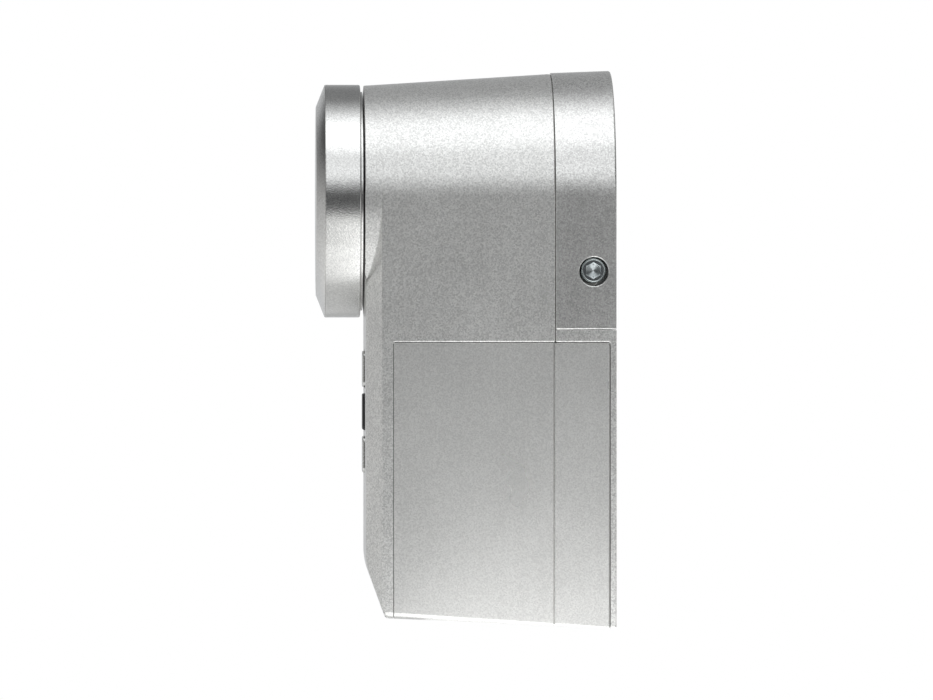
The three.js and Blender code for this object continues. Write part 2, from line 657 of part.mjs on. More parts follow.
const GEAR_POST_ANGLES = [90, 200, 340];
const GEAR_POST_RADIUS = 1.6;
const GEAR_POST_REACH = 24;

// A steel plate that holds the axles; its lobe reaches down to the lowest axis that it carries.
function gearPlate(name, [front, rear], centreHole, lobeBottom) {
  const room = draftedBody(WALL + GAP + 0.2, 0, BODY_FRONT);
  let plate = rod(PLATE_RADIUS, [front, rear], 0, 0, FINE);
  plate = plate.add(box([-25.5, front, lobeBottom], [-2, rear, -8])).intersect(room);
  const through = [front - BEYOND, rear + BEYOND];
  plate = plate.subtract(rod(centreHole, through, 0, 0, FINE));
  HOUSING_SCREWS.slice(0, 2).forEach(([x, z]) => {
    plate = plate.subtract(rod(HOUSING_BOSS_RADIUS + 0.4, through, x, z, 16));
  });
  [B_AXIS, A_AXIS].forEach(([x, z]) => {
    plate = plate.subtract(rod(AXLE_RADIUS + GAP, through, x, z, 12));
  });
  return part(name, plate, zincSteel);
}

function gearPlates() {
  const rearPlate = gearPlate('gear_plate_rear', REAR_PLATE_SPAN, 17.6, -42.5);
  const [front, rear] = FRONT_PLATE_SPAN;
  const frontPlate = gearPlate('gear_plate_front', FRONT_PLATE_SPAN, ROTOR_RADIUS + 0.7, -57.5);
  const motorHole = rod(MOTOR_NECK_RADIUS + 0.4, [front - BEYOND, rear + BEYOND], ...MOTOR_AXIS, 16);
  frontPlate.geometry = geometryOf(solid(frontPlate.geometry).subtract(motorHole));
  return [rearPlate, frontPlate];
}

function axle(name, [x, z]) {
  return part(name, rod(AXLE_RADIUS, [-30, -15.1], 0, 0, 12), darkSteel, [x, 0, z]);
}

function gearPosts() {
  return GEAR_POST_ANGLES.map((degrees, index) => {
    const [x, z] = fromAxis(OUTPUT_AXIS, GEAR_POST_REACH, degrees);
    const span = [FRONT_PLATE_SPAN[1] + GAP, REAR_PLATE_SPAN[0] - GAP];
    return part(`gear_post_${index + 1}`, rod(GEAR_POST_RADIUS, span, 0, 0, 12), darkSteel, [x, 0, z]);
  });
}

// ---------------------------------------------------------------- buttons and electronics

function pushButton(height, index) {
  const cap = prism(roundedRectangle(BUTTON_SIZE, BUTTON_CORNER), BUTTON_REAR, BODY_FRONT - BUTTON_PROUD);
  const flange = prism(roundedRectangle(FLANGE_SIZE, BUTTON_CORNER), FLANGE_SPAN[1], FLANGE_SPAN[0]);
  const material = index === 1 ? blackPlastic : satinSilver;
  return part(`button_${index + 1}`, cap.add(flange), material, [0, 0, height]);
}

function tactSwitch(height, index) {
  const half = SWITCH_SIZE / 2;
  const body = box([-half, SWITCH_FRONT, -half], [half, BOARD_SPAN[0] - GAP, half]);
  const plunger = rod(PLUNGER_RADIUS, PLUNGER_SPAN, 0, 0, 12);
  return part(`tact_switch_${index + 1}`, body.add(plunger), blackPlastic, [0, 0, height]);
}

function mainBoard() {
  const [front, rear] = BOARD_SPAN;
  const board = box([-20, front, -92.5], [20, rear, -30]).add(box([-6, front, -31], [6, rear, -12]));
  return part('main_board', board, boardGreen);
}

function boardParts() {
  const front = BOARD_SPAN[0] - GAP;
  const rear = BOARD_SPAN[1] + GAP;
  const antennaRun = new THREE.CatmullRomCurve3([
    [-15, -53, -76], [-15, -53, -72], [-15, -53, -50], [-15.5, -53, -40], [-13, -53, -34.5],
  ].map((point) => new THREE.Vector3(...point)));
  const wire = polygon(arc(0, 0, 0.5, 0, 4, 6).slice(1));
  const wireOptions = { extrudePath: antennaRun, steps: 14 };
  return [
    part('radio_module', box([-17, front - 1.9, -90], [-5, front, -77]), darkSteel),
    part('antenna', solid(new THREE.ExtrudeGeometry(wire, wireOptions)), blackPlastic),
    part('position_sensor', box([-2, rear, -17], [2, rear + 1.5, -13.5]), blackPlastic),
    part('buzzer', rod(4.5, [front - 2.2, front]), blackPlastic, [7, 0, -76]),
    part('capacitor', rod(3.2, [rear, rear + 10]), blackPlastic, [-4, 0, -84]),
  ];
}

// ---------------------------------------------------------------- batteries

function batteryTray() {
  const inner = TRAY_LOW.map((value) => value + TRAY_WALL);
  const open = [TRAY_HIGH[0] + BEYOND, TRAY_HIGH[1] - TRAY_WALL, TRAY_HIGH[2] - TRAY_WALL];
  return part('battery_tray', box(TRAY_LOW, TRAY_HIGH).subtract(box(inner, open)), blackPlastic);
}

const FLOOR_CONTACT = TRAY_LOW[2] + TRAY_WALL + GAP;                 // underside of the low contacts
const ROOF_CONTACT = TRAY_HIGH[2] - TRAY_WALL - GAP;                 // top of the high contacts

// The cells stand on alternate ends: each has its button at one contact and a spring at the other.
function cell(y, index) {
  const upright = index % 2 === 0;
  const body = CELL_LENGTH - NUB_HEIGHT;
  const profile = [
    [0, 0], [CELL_RADIUS, 0], [CELL_RADIUS, body], [NUB_RADIUS, body], [NUB_RADIUS, CELL_LENGTH],
    [0, CELL_LENGTH],
  ];
  const bottom = FLOOR_CONTACT + CONTACT_THICKNESS + SPRING_ROOM;
  const top = ROOF_CONTACT - CONTACT_THICKNESS - SPRING_ROOM;
  const mesh = part(`battery_cell_${index + 1}`, turned(profile), cellJacket);
  mesh.rotation.x = upright ? Math.PI / 2 : -Math.PI / 2;
  mesh.position.set(CELL_X, y, upright ? bottom : top);
  return mesh;
}

function cellSpring(y, index) {
  const upright = index % 2 === 0;
  const length = SPRING_ROOM - 2 * GAP - 0.8;
  const turns = 2.5;
  const points = Array.from({ length: 26 }, (_, i) => {
    const share = i / 25;
    const angle = share * turns * 2 * Math.PI;
    const radius = 4.4 - 1.8 * share;
    return new THREE.Vector3(radius * Math.cos(angle), radius * Math.sin(angle), share * length);
  });
  const wire = polygon(arc(0, 0, 0.35, 0, 4, 5).slice(1));
  const options = { extrudePath: new THREE.CatmullRomCurve3(points), steps: 25 };
  const mesh = part(`cell_spring_${index + 1}`, solid(new THREE.ExtrudeGeometry(wire, options)), zincSteel);
  const low = FLOOR_CONTACT + CONTACT_THICKNESS + GAP + 0.4;
  const high = ROOF_CONTACT - CONTACT_THICKNESS - GAP - 0.4;
  mesh.rotation.x = upright ? 0 : Math.PI;
  mesh.position.set(CELL_X, y, upright ? low : high);
  return mesh;
}

function contacts() {
  const plate = (name, firstY, lastY, bottom) => part(
    name,
    box(
      [CELL_X - CONTACT_REACH, lastY - CONTACT_REACH, bottom],
      [CELL_X + CONTACT_REACH, firstY + CONTACT_REACH, bottom + CONTACT_THICKNESS],
    ),
    zincSteel,
  );
  const high = ROOF_CONTACT - CONTACT_THICKNESS;
  return [
    plate('contact_top_pair', CELL_YS[0], CELL_YS[1], high),
    plate('contact_top_end', CELL_YS[2], CELL_YS[2], high),
    plate('contact_low_end', CELL_YS[0], CELL_YS[0], FLOOR_CONTACT),
    plate('contact_low_pair', CELL_YS[1], CELL_YS[2], FLOOR_CONTACT),
  ];
}

// ---------------------------------------------------------------- the assembly

function group(name, ...members) {
  const made = new THREE.Group();
  made.name = name;
  made.add(...members);
  return made;
}

const motor = motorPieces();

const drive = group(
  'lock_drive',
  group('housing', frontShell(), clampHousing(), rearFrame(), ...HOUSING_SCREWS.map(housingScrew)),
  group('clamp', clampScrew()),
  group('cover', batteryCover(), coverPad()),
  group('knob', knobCap(), knobCollar(), knobHub(), knobScrew(), knobSpindle(), keyRotor(), outputGear(),
    encoderMagnet()),
  group('bearings', knobBush(), rotorBush(), ...gearPlates(), axle('axle_a', A_AXIS), axle('axle_b', B_AXIS),
    ...gearPosts()),
  group('gears', gearB(), gearA(), ...motor.turning),
  group('buttons', ...BUTTON_HEIGHTS.map(pushButton)),
  group('electronics', mainBoard(), ...BUTTON_HEIGHTS.map(tactSwitch), ...boardParts(), ...motor.fixed),
  group('power', batteryTray(), ...CELL_YS.map(cell), ...CELL_YS.map(cellSpring), ...contacts()),
);

export default drive;
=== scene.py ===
"""Looks of a motorised door-lock drive with a turning knob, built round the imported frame.

The knob points towards -Y, the door is the plane Y = 0 and the battery cover is on the +X side.
Shapes are worked out in millimetres and scaled to metres when a piece is finished.
"""
import math

import bmesh
import bpy
from mathutils import Matrix, Vector


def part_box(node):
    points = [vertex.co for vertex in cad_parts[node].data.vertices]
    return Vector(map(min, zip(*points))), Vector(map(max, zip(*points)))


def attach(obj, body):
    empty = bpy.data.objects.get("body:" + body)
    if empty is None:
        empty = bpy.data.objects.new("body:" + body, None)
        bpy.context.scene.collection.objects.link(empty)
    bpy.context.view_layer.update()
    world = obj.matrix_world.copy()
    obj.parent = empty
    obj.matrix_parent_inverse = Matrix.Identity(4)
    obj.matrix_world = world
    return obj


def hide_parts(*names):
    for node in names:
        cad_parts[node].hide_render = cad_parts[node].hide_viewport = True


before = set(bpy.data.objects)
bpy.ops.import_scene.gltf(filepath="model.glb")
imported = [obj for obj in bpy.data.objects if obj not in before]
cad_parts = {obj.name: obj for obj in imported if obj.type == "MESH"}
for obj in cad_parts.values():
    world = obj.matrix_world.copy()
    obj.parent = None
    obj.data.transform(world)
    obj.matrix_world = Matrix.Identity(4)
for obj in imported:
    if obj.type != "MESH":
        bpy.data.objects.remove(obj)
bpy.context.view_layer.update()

MM = 0.001


def corners(node):
    """Lowest and highest corner of a CAD node, in millimetres."""
    low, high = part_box(node)
    return low / MM, high / MM


# ---------------------------------------------------------------- dimensions, in millimetres

BEYOND = 1.0                    # how far a cutting tool runs past the face it cuts
REACH = 40.0                    # how far from the axis a block goes that takes in the whole housing
DEEP = -120.0                   # a height below everything
AHEAD = 20.0                    # how far the wedges that trim the front reach in front of it
SMOOTH = 192                    # facets round the large turned forms
MEDIUM = 96                     # and round middling ones
SMALL = 48

# Housing: a drafted neck round the axis and a drafted body below it
REAR_RADIUS = corners("rear_frame")[1].x
NECK_FRONT = corners("front_shell")[0].y
NECK_RADIUS = 27.45
BODY_FRONT = NECK_FRONT + 0.3
REAR_BOTTOM = corners("rear_frame")[0].z
FRONT_BOTTOM = REAR_BOTTOM + 2.6
FAR_BELOW = REAR_BOTTOM - 10
FAR_OUT = REAR_RADIUS + 10
BOTTOM_FILLETS = (0.5, 1.7)     # at the door and at the front
LEAST_FILLET = 0.2
WALL = 2.0
SEAM = (corners("front_shell")[1].y + corners("clamp_housing")[0].y) / 2
SEAM_SLIT = 0.035               # half of the seam's width
CLAMP_BOTTOM = corners("clamp_housing")[0].z
CLAMP_REAR_RADIUS = corners("clamp_housing")[1].x
CLAMP_SEAM_RADIUS = CLAMP_REAR_RADIUS - 0.55
CHAMFER_START = (20.0, BODY_FRONT)      # X and Y where the front face turns into the chamfer
CHAMFER_END = (27.7, -54.65)            # and where the chamfer meets the side
SLANT_TOP = -83.0               # the front face leans back below here
SLANT_BEND = 2.5                # from there down to the control point of the lean's rounded start
SLANT_KNEE = (-57.5, -88.0)     # Y and Z at the end of that start
SLANT_FOOT = (-54.2, -97.0)     # and low on the straight lean

# Lock cylinder socket and clamp screw
CYLINDER_RADIUS = 8.7
FLANK_HALF_WIDTH = 5.25
CYLINDER_BOTTOM = -25.0
SOCKET_WALL = 3.5
CLAMP_PLATE = 3.5
REAR_PLATE = 1.7
FRAME_GAP = 0.1                 # between the clamp housing and the rear frame
SCREW_LOW, SCREW_HIGH = corners("clamp_screw")
SCREW_Y = (SCREW_LOW.y + SCREW_HIGH.y) / 2
SCREW_Z = (SCREW_LOW.z + SCREW_HIGH.z) / 2
SCREW_RADIUS = (SCREW_HIGH.y - SCREW_LOW.y) / 2
SCREW_EDGE = 0.4
SCREW_TIP = 1                   # chamfer of the tip
SCREW_HOLE = (-5.3, -16.9)      # the hole's centre in Y and Z; the screw sits a little high in it
SCREW_HOLE_RADIUS = 3.4
SCREW_HOLE_SPAN = (4, 40)
SCREW_BOSS_RADIUS = 5.1
SCREW_BOSS_SPAN = (7, CLAMP_SEAM_RADIUS - 0.6)
HEX_ACROSS_FLATS = 3.3
HEX_DEPTH = 0.9
DRILL_POINT = 0.45              # depth of the cone that the drill leaves under the hexagon
DRILL_TIP_RADIUS = 0.05

# Knob
KNOB_LOW, KNOB_HIGH = corners("knob_cap")
KNOB_RADIUS = KNOB_HIGH.x
KNOB_FRONT = KNOB_LOW.y
KNOB_REAR = KNOB_HIGH.y
KNOB_RIM_FRONT = KNOB_FRONT + 2.07
KNOB_FACE_RADIUS = 22.4
KNOB_FACE_THICKNESS = 1.8
KNOB_HOLLOW = (22, 3.4)         # radius of the hollow's flat floor, and its depth from the face at the wall
KNOB_CENTRE = 0.3               # the profile stops this far from the axis
RIM_GROOVE = 0.08               # half the width of the fine groove at the rim's front edge
FACE_RING = (19.6, 19.4, 19.0, 18.8)    # radii of the shallow ring groove in the face
FACE_RING_DEPTH = 0.25
COLLAR_LOW, COLLAR_HIGH = corners("knob_collar")
COLLAR_RADIUS = COLLAR_HIGH.x
COLLAR_GAP = 0.35               # between the collar and the knob's inner wall
COLLAR_BORE_RADIUS = 8.5
BUSH_HOLE_RADIUS = 7.8          # for the knob's bush in the front shell
BUSH_BOSS_RADIUS = 10
BUSH_BOSS_DEPTH = 7.5

# Push buttons
BUTTON_SIZE = (11, 8.6)
BUTTON_CORNER = 1.3
BUTTON_HOLE_GAP = 0.25
BUTTON_INSET = 0.2              # the cap starts this far inside the flange
FLANGE_SIZE = (12.8, 9.6)
FLANGE_THICKNESS = 0.5

# Battery cover: its edges, and the opening that leaves the clearance round it
COVER_LOW, COVER_HIGH = corners("battery_cover")
COVER_THICKNESS = 1.6
COVER_GAP = 0.13                # round the cover, in front and behind
COVER_TOP_GAP = 0.09
COVER_INNER_GAP = 0.3           # between the inner end of the cover's foot and the housing
LIP_DROP = 0.42                 # from the cover's top down to its fine slit
LIP_SLIT = (0.14, 0.3)          # width and depth
MARK = SEAM - 0.35              # Y of the slit that carries the seam's line on over the cover
MARK_SLIT = (0.36, 0.75)
MARK_END = REAR_BOTTOM + 1.2

# Cells and tray
TRAY_WALL = 1.4
TRAY_OPEN_SIDE = 5              # how far the tray's hollow runs out of its open side
RIB_HEIGHTS = (-82, -66, -50)
RIB_HALF_THICKNESS = 0.6
RIB_INSET = 0.5                 # the ribs start this far inside the tray's outer faces
RIB_CLEARANCE = 0.25            # between a rib and the cells
CELL_BUTTON_HEIGHT = 1.3
CELL_BUTTON_RADII = (3.4, 2.7, 2.7, 2.5)        # from its foot to its top
CAN_INSET = 0.3                 # the steel can inside the jacket's radius
CAN_END_INSET = 0.6
JACKET_LIP = 1.4                # how far the jacket is rolled in over the ends
JACKET_LIP_THICKNESS = 0.04
JACKET_THICKNESS = 0.25
JACKET_TURN = 0.3               # height over which the jacket's inside turns in
JACKET_INSET = 0.05             # from the cell's flat end, and from its shoulder, to the jacket's ends

# Housing screws: their places, the bosses in the front shell, and the wells in the rear pieces
HOUSING_SCREWS = [
    ((corners(f"housing_screw_{n}")[0] + corners(f"housing_screw_{n}")[1]) / 2) for n in range(1, 5)
]
LOWER_BOSS_FRONT = -45.0
UPPER_BOSS_FRONT = -32.0
BOSS_RADIUS = 2.6
BOSS_START = 0.3                # in front of the shell's rear edge
PILOT_RADIUS = 1.2              # of the hole that the screw's thread bites into
PILOT_DEPTH = 13
REAR_BOSS_RADIUS = 3.4
WELL_RADIUS = 2.7
WELL_DEPTH = 2.2
SHANK_RADIUS = 1.55             # of the hole for the screw's shank

# Rounding: widths of edges, and how near an edge has to be to a place to belong to it
TINY_EDGE = 0.03
CRISP_EDGE = 0.06
FINE_EDGE = 0.08
CLEAR_EDGE = 0.12
PLAIN_EDGE = 0.2
BOLD_EDGE = 0.42                # edges that catch the light as a bright line
NEAR = 0.05
CLOSE = 0.1
NEAR_SIDE = 20                  # X of edges on the side with the cover is more than this
OUTSIDE = 28                    # edges on the housing's outside are further than this from the axis


def radius_at(y):
    return REAR_RADIUS + (NECK_RADIUS - REAR_RADIUS) * y / NECK_FRONT


def clamp_radius_at(y):
    """The clamp housing has its own draft, and stands a little proud of the front shell."""
    return CLAMP_REAR_RADIUS + (CLAMP_SEAM_RADIUS - CLAMP_REAR_RADIUS) * y / SEAM


def bottom_at(y):
    return REAR_BOTTOM + (FRONT_BOTTOM - REAR_BOTTOM) * y / BODY_FRONT


# ---------------------------------------------------------------- solids

def solid(name, points, faces):
    """A closed mesh object, in millimetres, with its faces turned outwards."""
    mesh = bpy.data.meshes.new(name)
    mesh.from_pydata([tuple(point) for point in points], [], faces)
    made = bmesh.new()
    made.from_mesh(mesh)
    bmesh.ops.recalc_face_normals(made, faces=made.faces)
    made.to_mesh(mesh)
    made.free()
    piece = bpy.data.objects.new(name, mesh)
    bpy.context.scene.collection.objects.link(piece)
    return piece


def loft(rings, closed=False):
    """Rings of the same number of points joined by quads; open ends are capped."""
    count = len(rings[0])
    points = [point for ring in rings for point in ring]
    faces = []
    spans = len(rings) if closed else len(rings) - 1
    for k in range(spans):
        a = k * count
        b = ((k + 1) % len(rings)) * count
        faces += [(a + i, a + (i + 1) % count, b + (i + 1) % count, b + i) for i in range(count)]
    if not closed:
        faces.append(tuple(range(count)))
        faces.append(tuple(range((len(rings) - 1) * count, len(rings) * count)))
    return solid("form", points, faces)


def prism(outline, rear, front):
    """An outline in X and Z drawn along Y."""
    return loft([[(x, y, z) for x, z in outline] for y in (rear, front)])


def plan_prism(outline, bottom, top):
    """An outline in X and Y drawn upwards."""
    return loft([[(x, y, z) for x, y in outline] for z in (bottom, top)])


def side_prism(outline, left, right):
    """An outline in Y and Z drawn along X."""
    return loft([[(x, y, z) for y, z in outline] for x in (left, right)])


def block(low, high):
    return plan_prism([(low[0], low[1]), (high[0], low[1]), (high[0], high[1]), (low[0], high[1])],
                      low[2], high[2])


def circle(radius, segments, centre=(0, 0)):
    step = 2 * math.pi / segments
    return [(centre[0] + radius * math.cos(i * step), centre[1] + radius * math.sin(i * step))
            for i in range(segments)]


def turned(profile, segments, closed=False, x=0, z=0):
    """Points of (radius, y) turned about an axis along Y."""
    rings = [[(a, y, b) for a, b in circle(radius, segments, (x, z))] for radius, y in profile]
    return loft(rings, closed)


def rod(radius, rear, front, x=0, z=0, segments=SMALL):
    return turned([(radius, rear), (radius, front)], segments, x=x, z=z)


def side_rod(profile, y, z, segments=SMALL):
    """Points of (radius, x) turned about an axis along X."""
    return loft([[(x, a, b) for a, b in circle(radius, segments, (y, z))] for radius, x in profile])


def upright_turned(profile, x, y, closed=False):
    """Points of (radius, z) turned about an upright axis."""
    return loft([[(a, b, z) for a, b in circle(radius, SMALL, (x, y))] for radius, z in profile], closed)


def arc(centre, radius, start, end, steps):
    """Points along an arc, both ends included; the angles are in quarter turns."""
    angles = [(start + (end - start) * i / steps) * math.pi / 2 for i in range(steps + 1)]
    return [(centre[0] + radius * math.cos(a), centre[1] + radius * math.sin(a)) for a in angles]


CORNER_STEPS = 8                # facets of a rounded rectangle's corner


def rounded_rectangle(width, height, corner, centre):
    x = width / 2 - corner
    z = height / 2 - corner
    corner_centres = [(x, z), (-x, z), (-x, -z), (x, -z)]
    return [point for quarter, (a, b) in enumerate(corner_centres)
            for point in arc((centre[0] + a, centre[1] + b), corner, quarter, quarter + 1, CORNER_STEPS)]


def hexagon(across_flats, centre):
    """A hexagon with corners at its top and bottom."""
    return [(centre[0] + b, centre[1] + a) for a, b in circle(across_flats / math.sqrt(3), 6)]


def freeze(piece):
    """Applies the modifiers of a piece to its mesh."""
    graph = bpy.context.evaluated_depsgraph_get()
    mesh = bpy.data.meshes.new_from_object(piece.evaluated_get(graph))
    piece.modifiers.clear()
    piece.data = mesh


def combine(operation, piece, tools):
    for tool in tools:
        modifier = piece.modifiers.new("combine", "BOOLEAN")
        modifier.operation = operation
        modifier.solver = "EXACT"
        modifier.object = tool
        freeze(piece)
        bpy.data.objects.remove(tool)
    return piece


def cut(piece, *tools):
    return combine("DIFFERENCE", piece, tools)


def join(piece, *tools):
    return combine("UNION", piece, tools)


def meet(piece, *tools):
    return combine("INTERSECT", piece, tools)


# ---------------------------------------------------------------- finishing a piece

SHARP = math.radians(24)        # an edge that turns more than this is rounded
MERGED = 0.002                  # points nearer than this, in millimetres, are made one
ROUNDING_STEPS = 3              # facets across a rounded edge


def round_edges(piece, width, special=()):
    """Rounds the sharp edges. special holds (test on an edge's middle, width) pairs, in millimetres."""
    widest = max([width] + [other for _, other in special])
    made = bmesh.new()
    made.from_mesh(piece.data)
    bmesh.ops.remove_doubles(made, verts=made.verts, dist=MERGED)
    bmesh.ops.dissolve_degenerate(made, edges=made.edges, dist=MERGED)
    weights = made.edges.layers.float.new("bevel_weight_edge")
    for edge in made.edges:
        if len(edge.link_faces) != 2 or edge.calc_face_angle(0) < SHARP:
            continue
        middle = (edge.verts[0].co + edge.verts[1].co) / 2
        fitting = [other for test, other in special if test(middle)]
        edge[weights] = (fitting[0] if fitting else width) / widest
    made.to_mesh(piece.data)
    made.free()
    bevel = piece.modifiers.new("rounding", "BEVEL")
    bevel.limit_method = "WEIGHT"
    bevel.width = widest * MM
    bevel.segments = ROUNDING_STEPS
    bevel.miter_outer = "MITER_ARC"
    bevel.use_clamp_overlap = False


def finish_piece(piece, name, body, material, nodes):
    """Scales a piece to metres, shades it, gives it its material, hangs it under its body's empty and hides
    the CAD nodes that it replaces.
    """
    piece.name = name
    piece.data.name = name
    piece.data.transform(Matrix.Scale(MM, 4))
    piece.data.polygons.foreach_set("use_smooth", [True] * len(piece.data.polygons))
    normals = piece.modifiers.new("shading", "WEIGHTED_NORMAL")
    normals.keep_sharp = True
    piece.data.materials.clear()
    piece.data.materials.append(material)
    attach(piece, body)
    if nodes:
        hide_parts(*nodes)


# ---------------------------------------------------------------- materials

# Where a Mix node that mixes colours has its sockets; their names are shared by other kinds of mix.
MIX_SHARE, MIX_FIRST, MIX_SECOND = 0, 6, 7
MIX_RESULT = 2


def new_material(name, color, roughness, metallic=0.0, **sockets):
    """A Principled material; the further sockets are constants, by name."""
    made = bpy.data.materials.new(name)
    made.use_nodes = True
    shader = made.node_tree.nodes["Principled BSDF"]
    shader.inputs["Base Color"].default_value = (*color, 1)
    shader.inputs["Roughness"].default_value = roughness
    shader.inputs["Metallic"].default_value = metallic
    for socket, value in sockets.items():
        shader.inputs[socket.replace("_", " ").title()].default_value = value
    return made


class Shading:
    """Short ways to add nodes to a material."""

    def __init__(self, material):
        self.tree = material.node_tree
        self.shader = self.tree.nodes["Principled BSDF"]
        self.place = self.add("ShaderNodeTexCoord").outputs["Object"]

    def add(self, kind, **settings):
        node = self.tree.nodes.new(kind)
        for key, value in settings.items():
            setattr(node, key, value)
        return node

    def feed(self, node, **values):
        """Sets or links input sockets by name."""
        for key, value in values.items():
            socket = node.inputs[key.replace("_", " ")]
            if isinstance(value, bpy.types.NodeSocket):
                self.tree.links.new(value, socket)
            else:
                socket.default_value = value
        return node

    def noise(self, scale, detail=2.0):
        node = self.feed(self.add("ShaderNodeTexNoise"), Vector=self.place, Scale=scale, Detail=detail)
        return node.outputs["Fac"]

    def flakes(self, scale):
        """A random grey for each cell of a Voronoi pattern."""
        node = self.feed(self.add("ShaderNodeTexVoronoi"), Vector=self.place, Scale=scale)
        split = self.feed(self.add("ShaderNodeSeparateColor"), Color=node.outputs["Color"])
        return split.outputs["Red"]

    def spread(self, value, low, high):
        """A value from 0 to 1 laid over low to high."""
        node = self.feed(self.add("ShaderNodeMapRange"), Value=value)
        node.inputs["To Min"].default_value = low
        node.inputs["To Max"].default_value = high
        return node.outputs["Result"]

    def math(self, operation, first, second):
        node = self.add("ShaderNodeMath", operation=operation)
        for socket, value in zip(node.inputs, (first, second)):
            if isinstance(value, bpy.types.NodeSocket):
                self.tree.links.new(value, socket)
            else:
                socket.default_value = value
        return node.outputs["Value"]

    def mix(self, share, first, second):
        """A mix of two colours, by the value of a socket."""
        node = self.add("ShaderNodeMix", data_type="RGBA")
        self.tree.links.new(share, node.inputs[MIX_SHARE])
        node.inputs[MIX_FIRST].default_value = (*first, 1)
        node.inputs[MIX_SECOND].default_value = (*second, 1)
        return node.outputs[MIX_RESULT]

    def bump(self, height, strength, depth):
        """Bump from a height, with its depth in millimetres."""
        node = self.feed(self.add("ShaderNodeBump"), Height=height, Strength=strength)
        node.inputs["Distance"].default_value = depth * MM
        self.tree.links.new(node.outputs["Normal"], self.shader.inputs["Normal"])

    def color(self, value):
        self.tree.links.new(value, self.shader.inputs["Base Color"])

    def roughness(self, value):
        self.tree.links.new(value, self.shader.inputs["Roughness"])


CLOUD_SCALE = 60.0              # of the slow variation over a surface
FLAKE_SHARE = 0.7               # of the flakes in a surface's colour; the cloud has the rest


def speckled(name, dark, light, roughness, metallic=0.0, flake=2400, grain=6000,
             depth=0.01, strength=0.4, spread=0.08, **sockets):
    """Plastic, paint or metal: flakes of colour, a fine bump, and a roughness that wanders a little.

    flake and grain are the scales of the two patterns; depth is the bump's, in millimetres."""
    made = new_material(name, light, roughness, metallic, **sockets)
    shading = Shading(made)
    cells = shading.flakes(flake)
    cloud = shading.noise(CLOUD_SCALE)
    share = shading.math("ADD", shading.math("MULTIPLY", cells, FLAKE_SHARE),
                         shading.math("MULTIPLY", cloud, 1 - FLAKE_SHARE))
    shading.color(shading.mix(share, dark, light))
    shading.roughness(shading.spread(cloud, roughness - spread, roughness + spread))
    shading.bump(shading.noise(grain, 1.0), strength, depth)
    return made


SILVER_PAINT = speckled("silver_paint", (0.495, 0.495, 0.482), (0.935, 0.935, 0.912), 0.28, 0.65,
                        flake=3400, grain=3000, depth=0.022, strength=1.0, spread=0.02)
COVER_PAINT = speckled("cover_paint", (0.605, 0.605, 0.59), (0.835, 0.835, 0.814), 0.28, 0.65,
                       flake=3400, grain=3000, depth=0.022, strength=1.0, spread=0.02)
CAST_PAINT = speckled("cast_paint", (0.485, 0.485, 0.473), (0.925, 0.925, 0.902), 0.24, 0.71,
                      flake=3400, grain=3000, depth=0.022, strength=1.0, spread=0.02)
SATIN_SILVER = speckled("satin_silver", (0.54, 0.54, 0.528), (0.76, 0.76, 0.742), 0.20, 1.0,
                        flake=3400, grain=3600, depth=0.02, strength=1.0, spread=0.02)
BUTTON_BLACK = speckled("button_black", (0.012, 0.012, 0.013), (0.02, 0.02, 0.022), 0.42)
ZINC_STEEL = speckled("zinc_steel", (0.42, 0.45, 0.50), (0.66, 0.68, 0.72), 0.30, 1.0,
                      flake=900, grain=5200, depth=0.008)
SCREW_STEEL = speckled("screw_steel", (0.55, 0.60, 0.61), (0.74, 0.79, 0.80), 0.17, 1.0,
                       flake=900, grain=3600, depth=0.01)
DARK_STEEL = speckled("dark_steel", (0.14, 0.145, 0.155), (0.24, 0.245, 0.25), 0.36, 1.0,
                      flake=1500, grain=5200, depth=0.008)
BRONZE = speckled("bronze", (0.38, 0.20, 0.075), (0.56, 0.32, 0.13), 0.38, 1.0,
                  flake=1300, grain=2800, depth=0.02)
WHITE_NYLON = speckled("white_nylon", (0.74, 0.72, 0.66), (0.84, 0.83, 0.78), 0.46,
                       subsurface_weight=0.08)
GREY_NYLON = speckled("grey_nylon", (0.075, 0.08, 0.088), (0.115, 0.12, 0.13), 0.52)
BLACK_PLASTIC = speckled("black_plastic", (0.012, 0.012, 0.014), (0.022, 0.022, 0.025), 0.5,
                         grain=2600, depth=0.03)
BOARD_GREEN = speckled("board_green", (0.008, 0.06, 0.025), (0.015, 0.10, 0.045), 0.34,
                       flake=420, grain=900, depth=0.02)
CELL_JACKET = speckled("cell_jacket", (0.02, 0.075, 0.05), (0.03, 0.10, 0.065), 0.24, coat_weight=0.6)
FOAM = speckled("foam", (0.02, 0.02, 0.021), (0.05, 0.05, 0.052), 0.95, flake=1800, grain=1500,
                depth=0.25, strength=1.0)


# ---------------------------------------------------------------- the housing's outer form

FILLET_STEPS = 10
SLANT_STEPS = 12
NECK_CONE_REAR = -30            # a plane well behind everything that trims the front


def body_outline(inset, y):
    """The housing's outline at a depth Y: half a circle above the axis, filleted corners below."""
    radius = REAR_RADIUS - inset
    bottom = REAR_BOTTOM + inset
    rear, front = BOTTOM_FILLETS
    fillet = max(rear + (front - rear) * y / BODY_FRONT - inset, LEAST_FILLET)
    return [
        *arc((0, 0), radius, 0, 2, SMOOTH // 2),
        *arc((-radius + fillet, bottom + fillet), fillet, 2, 3, FILLET_STEPS),
        *arc((radius - fillet, bottom + fillet), fillet, 3, 4, FILLET_STEPS),
    ]


def drafted_body(inset, rear, front, radius=radius_at):
    """The housing's outline drawn forward with the draft of the sides and of the bottom."""
    rings = []
    for y in (rear, front):
        across = (radius(y) - inset) / (REAR_RADIUS - inset)
        down = (bottom_at(y) + inset) / (REAR_BOTTOM + inset)
        rings.append([(x * across, y, z * (across if z > 0 else down)) for x, z in body_outline(inset, y)])
    return loft(rings)


def neck_cone(inset, rear, front):
    return turned([(radius_at(y) - inset, y) for y in (rear, front)], SMOOTH)


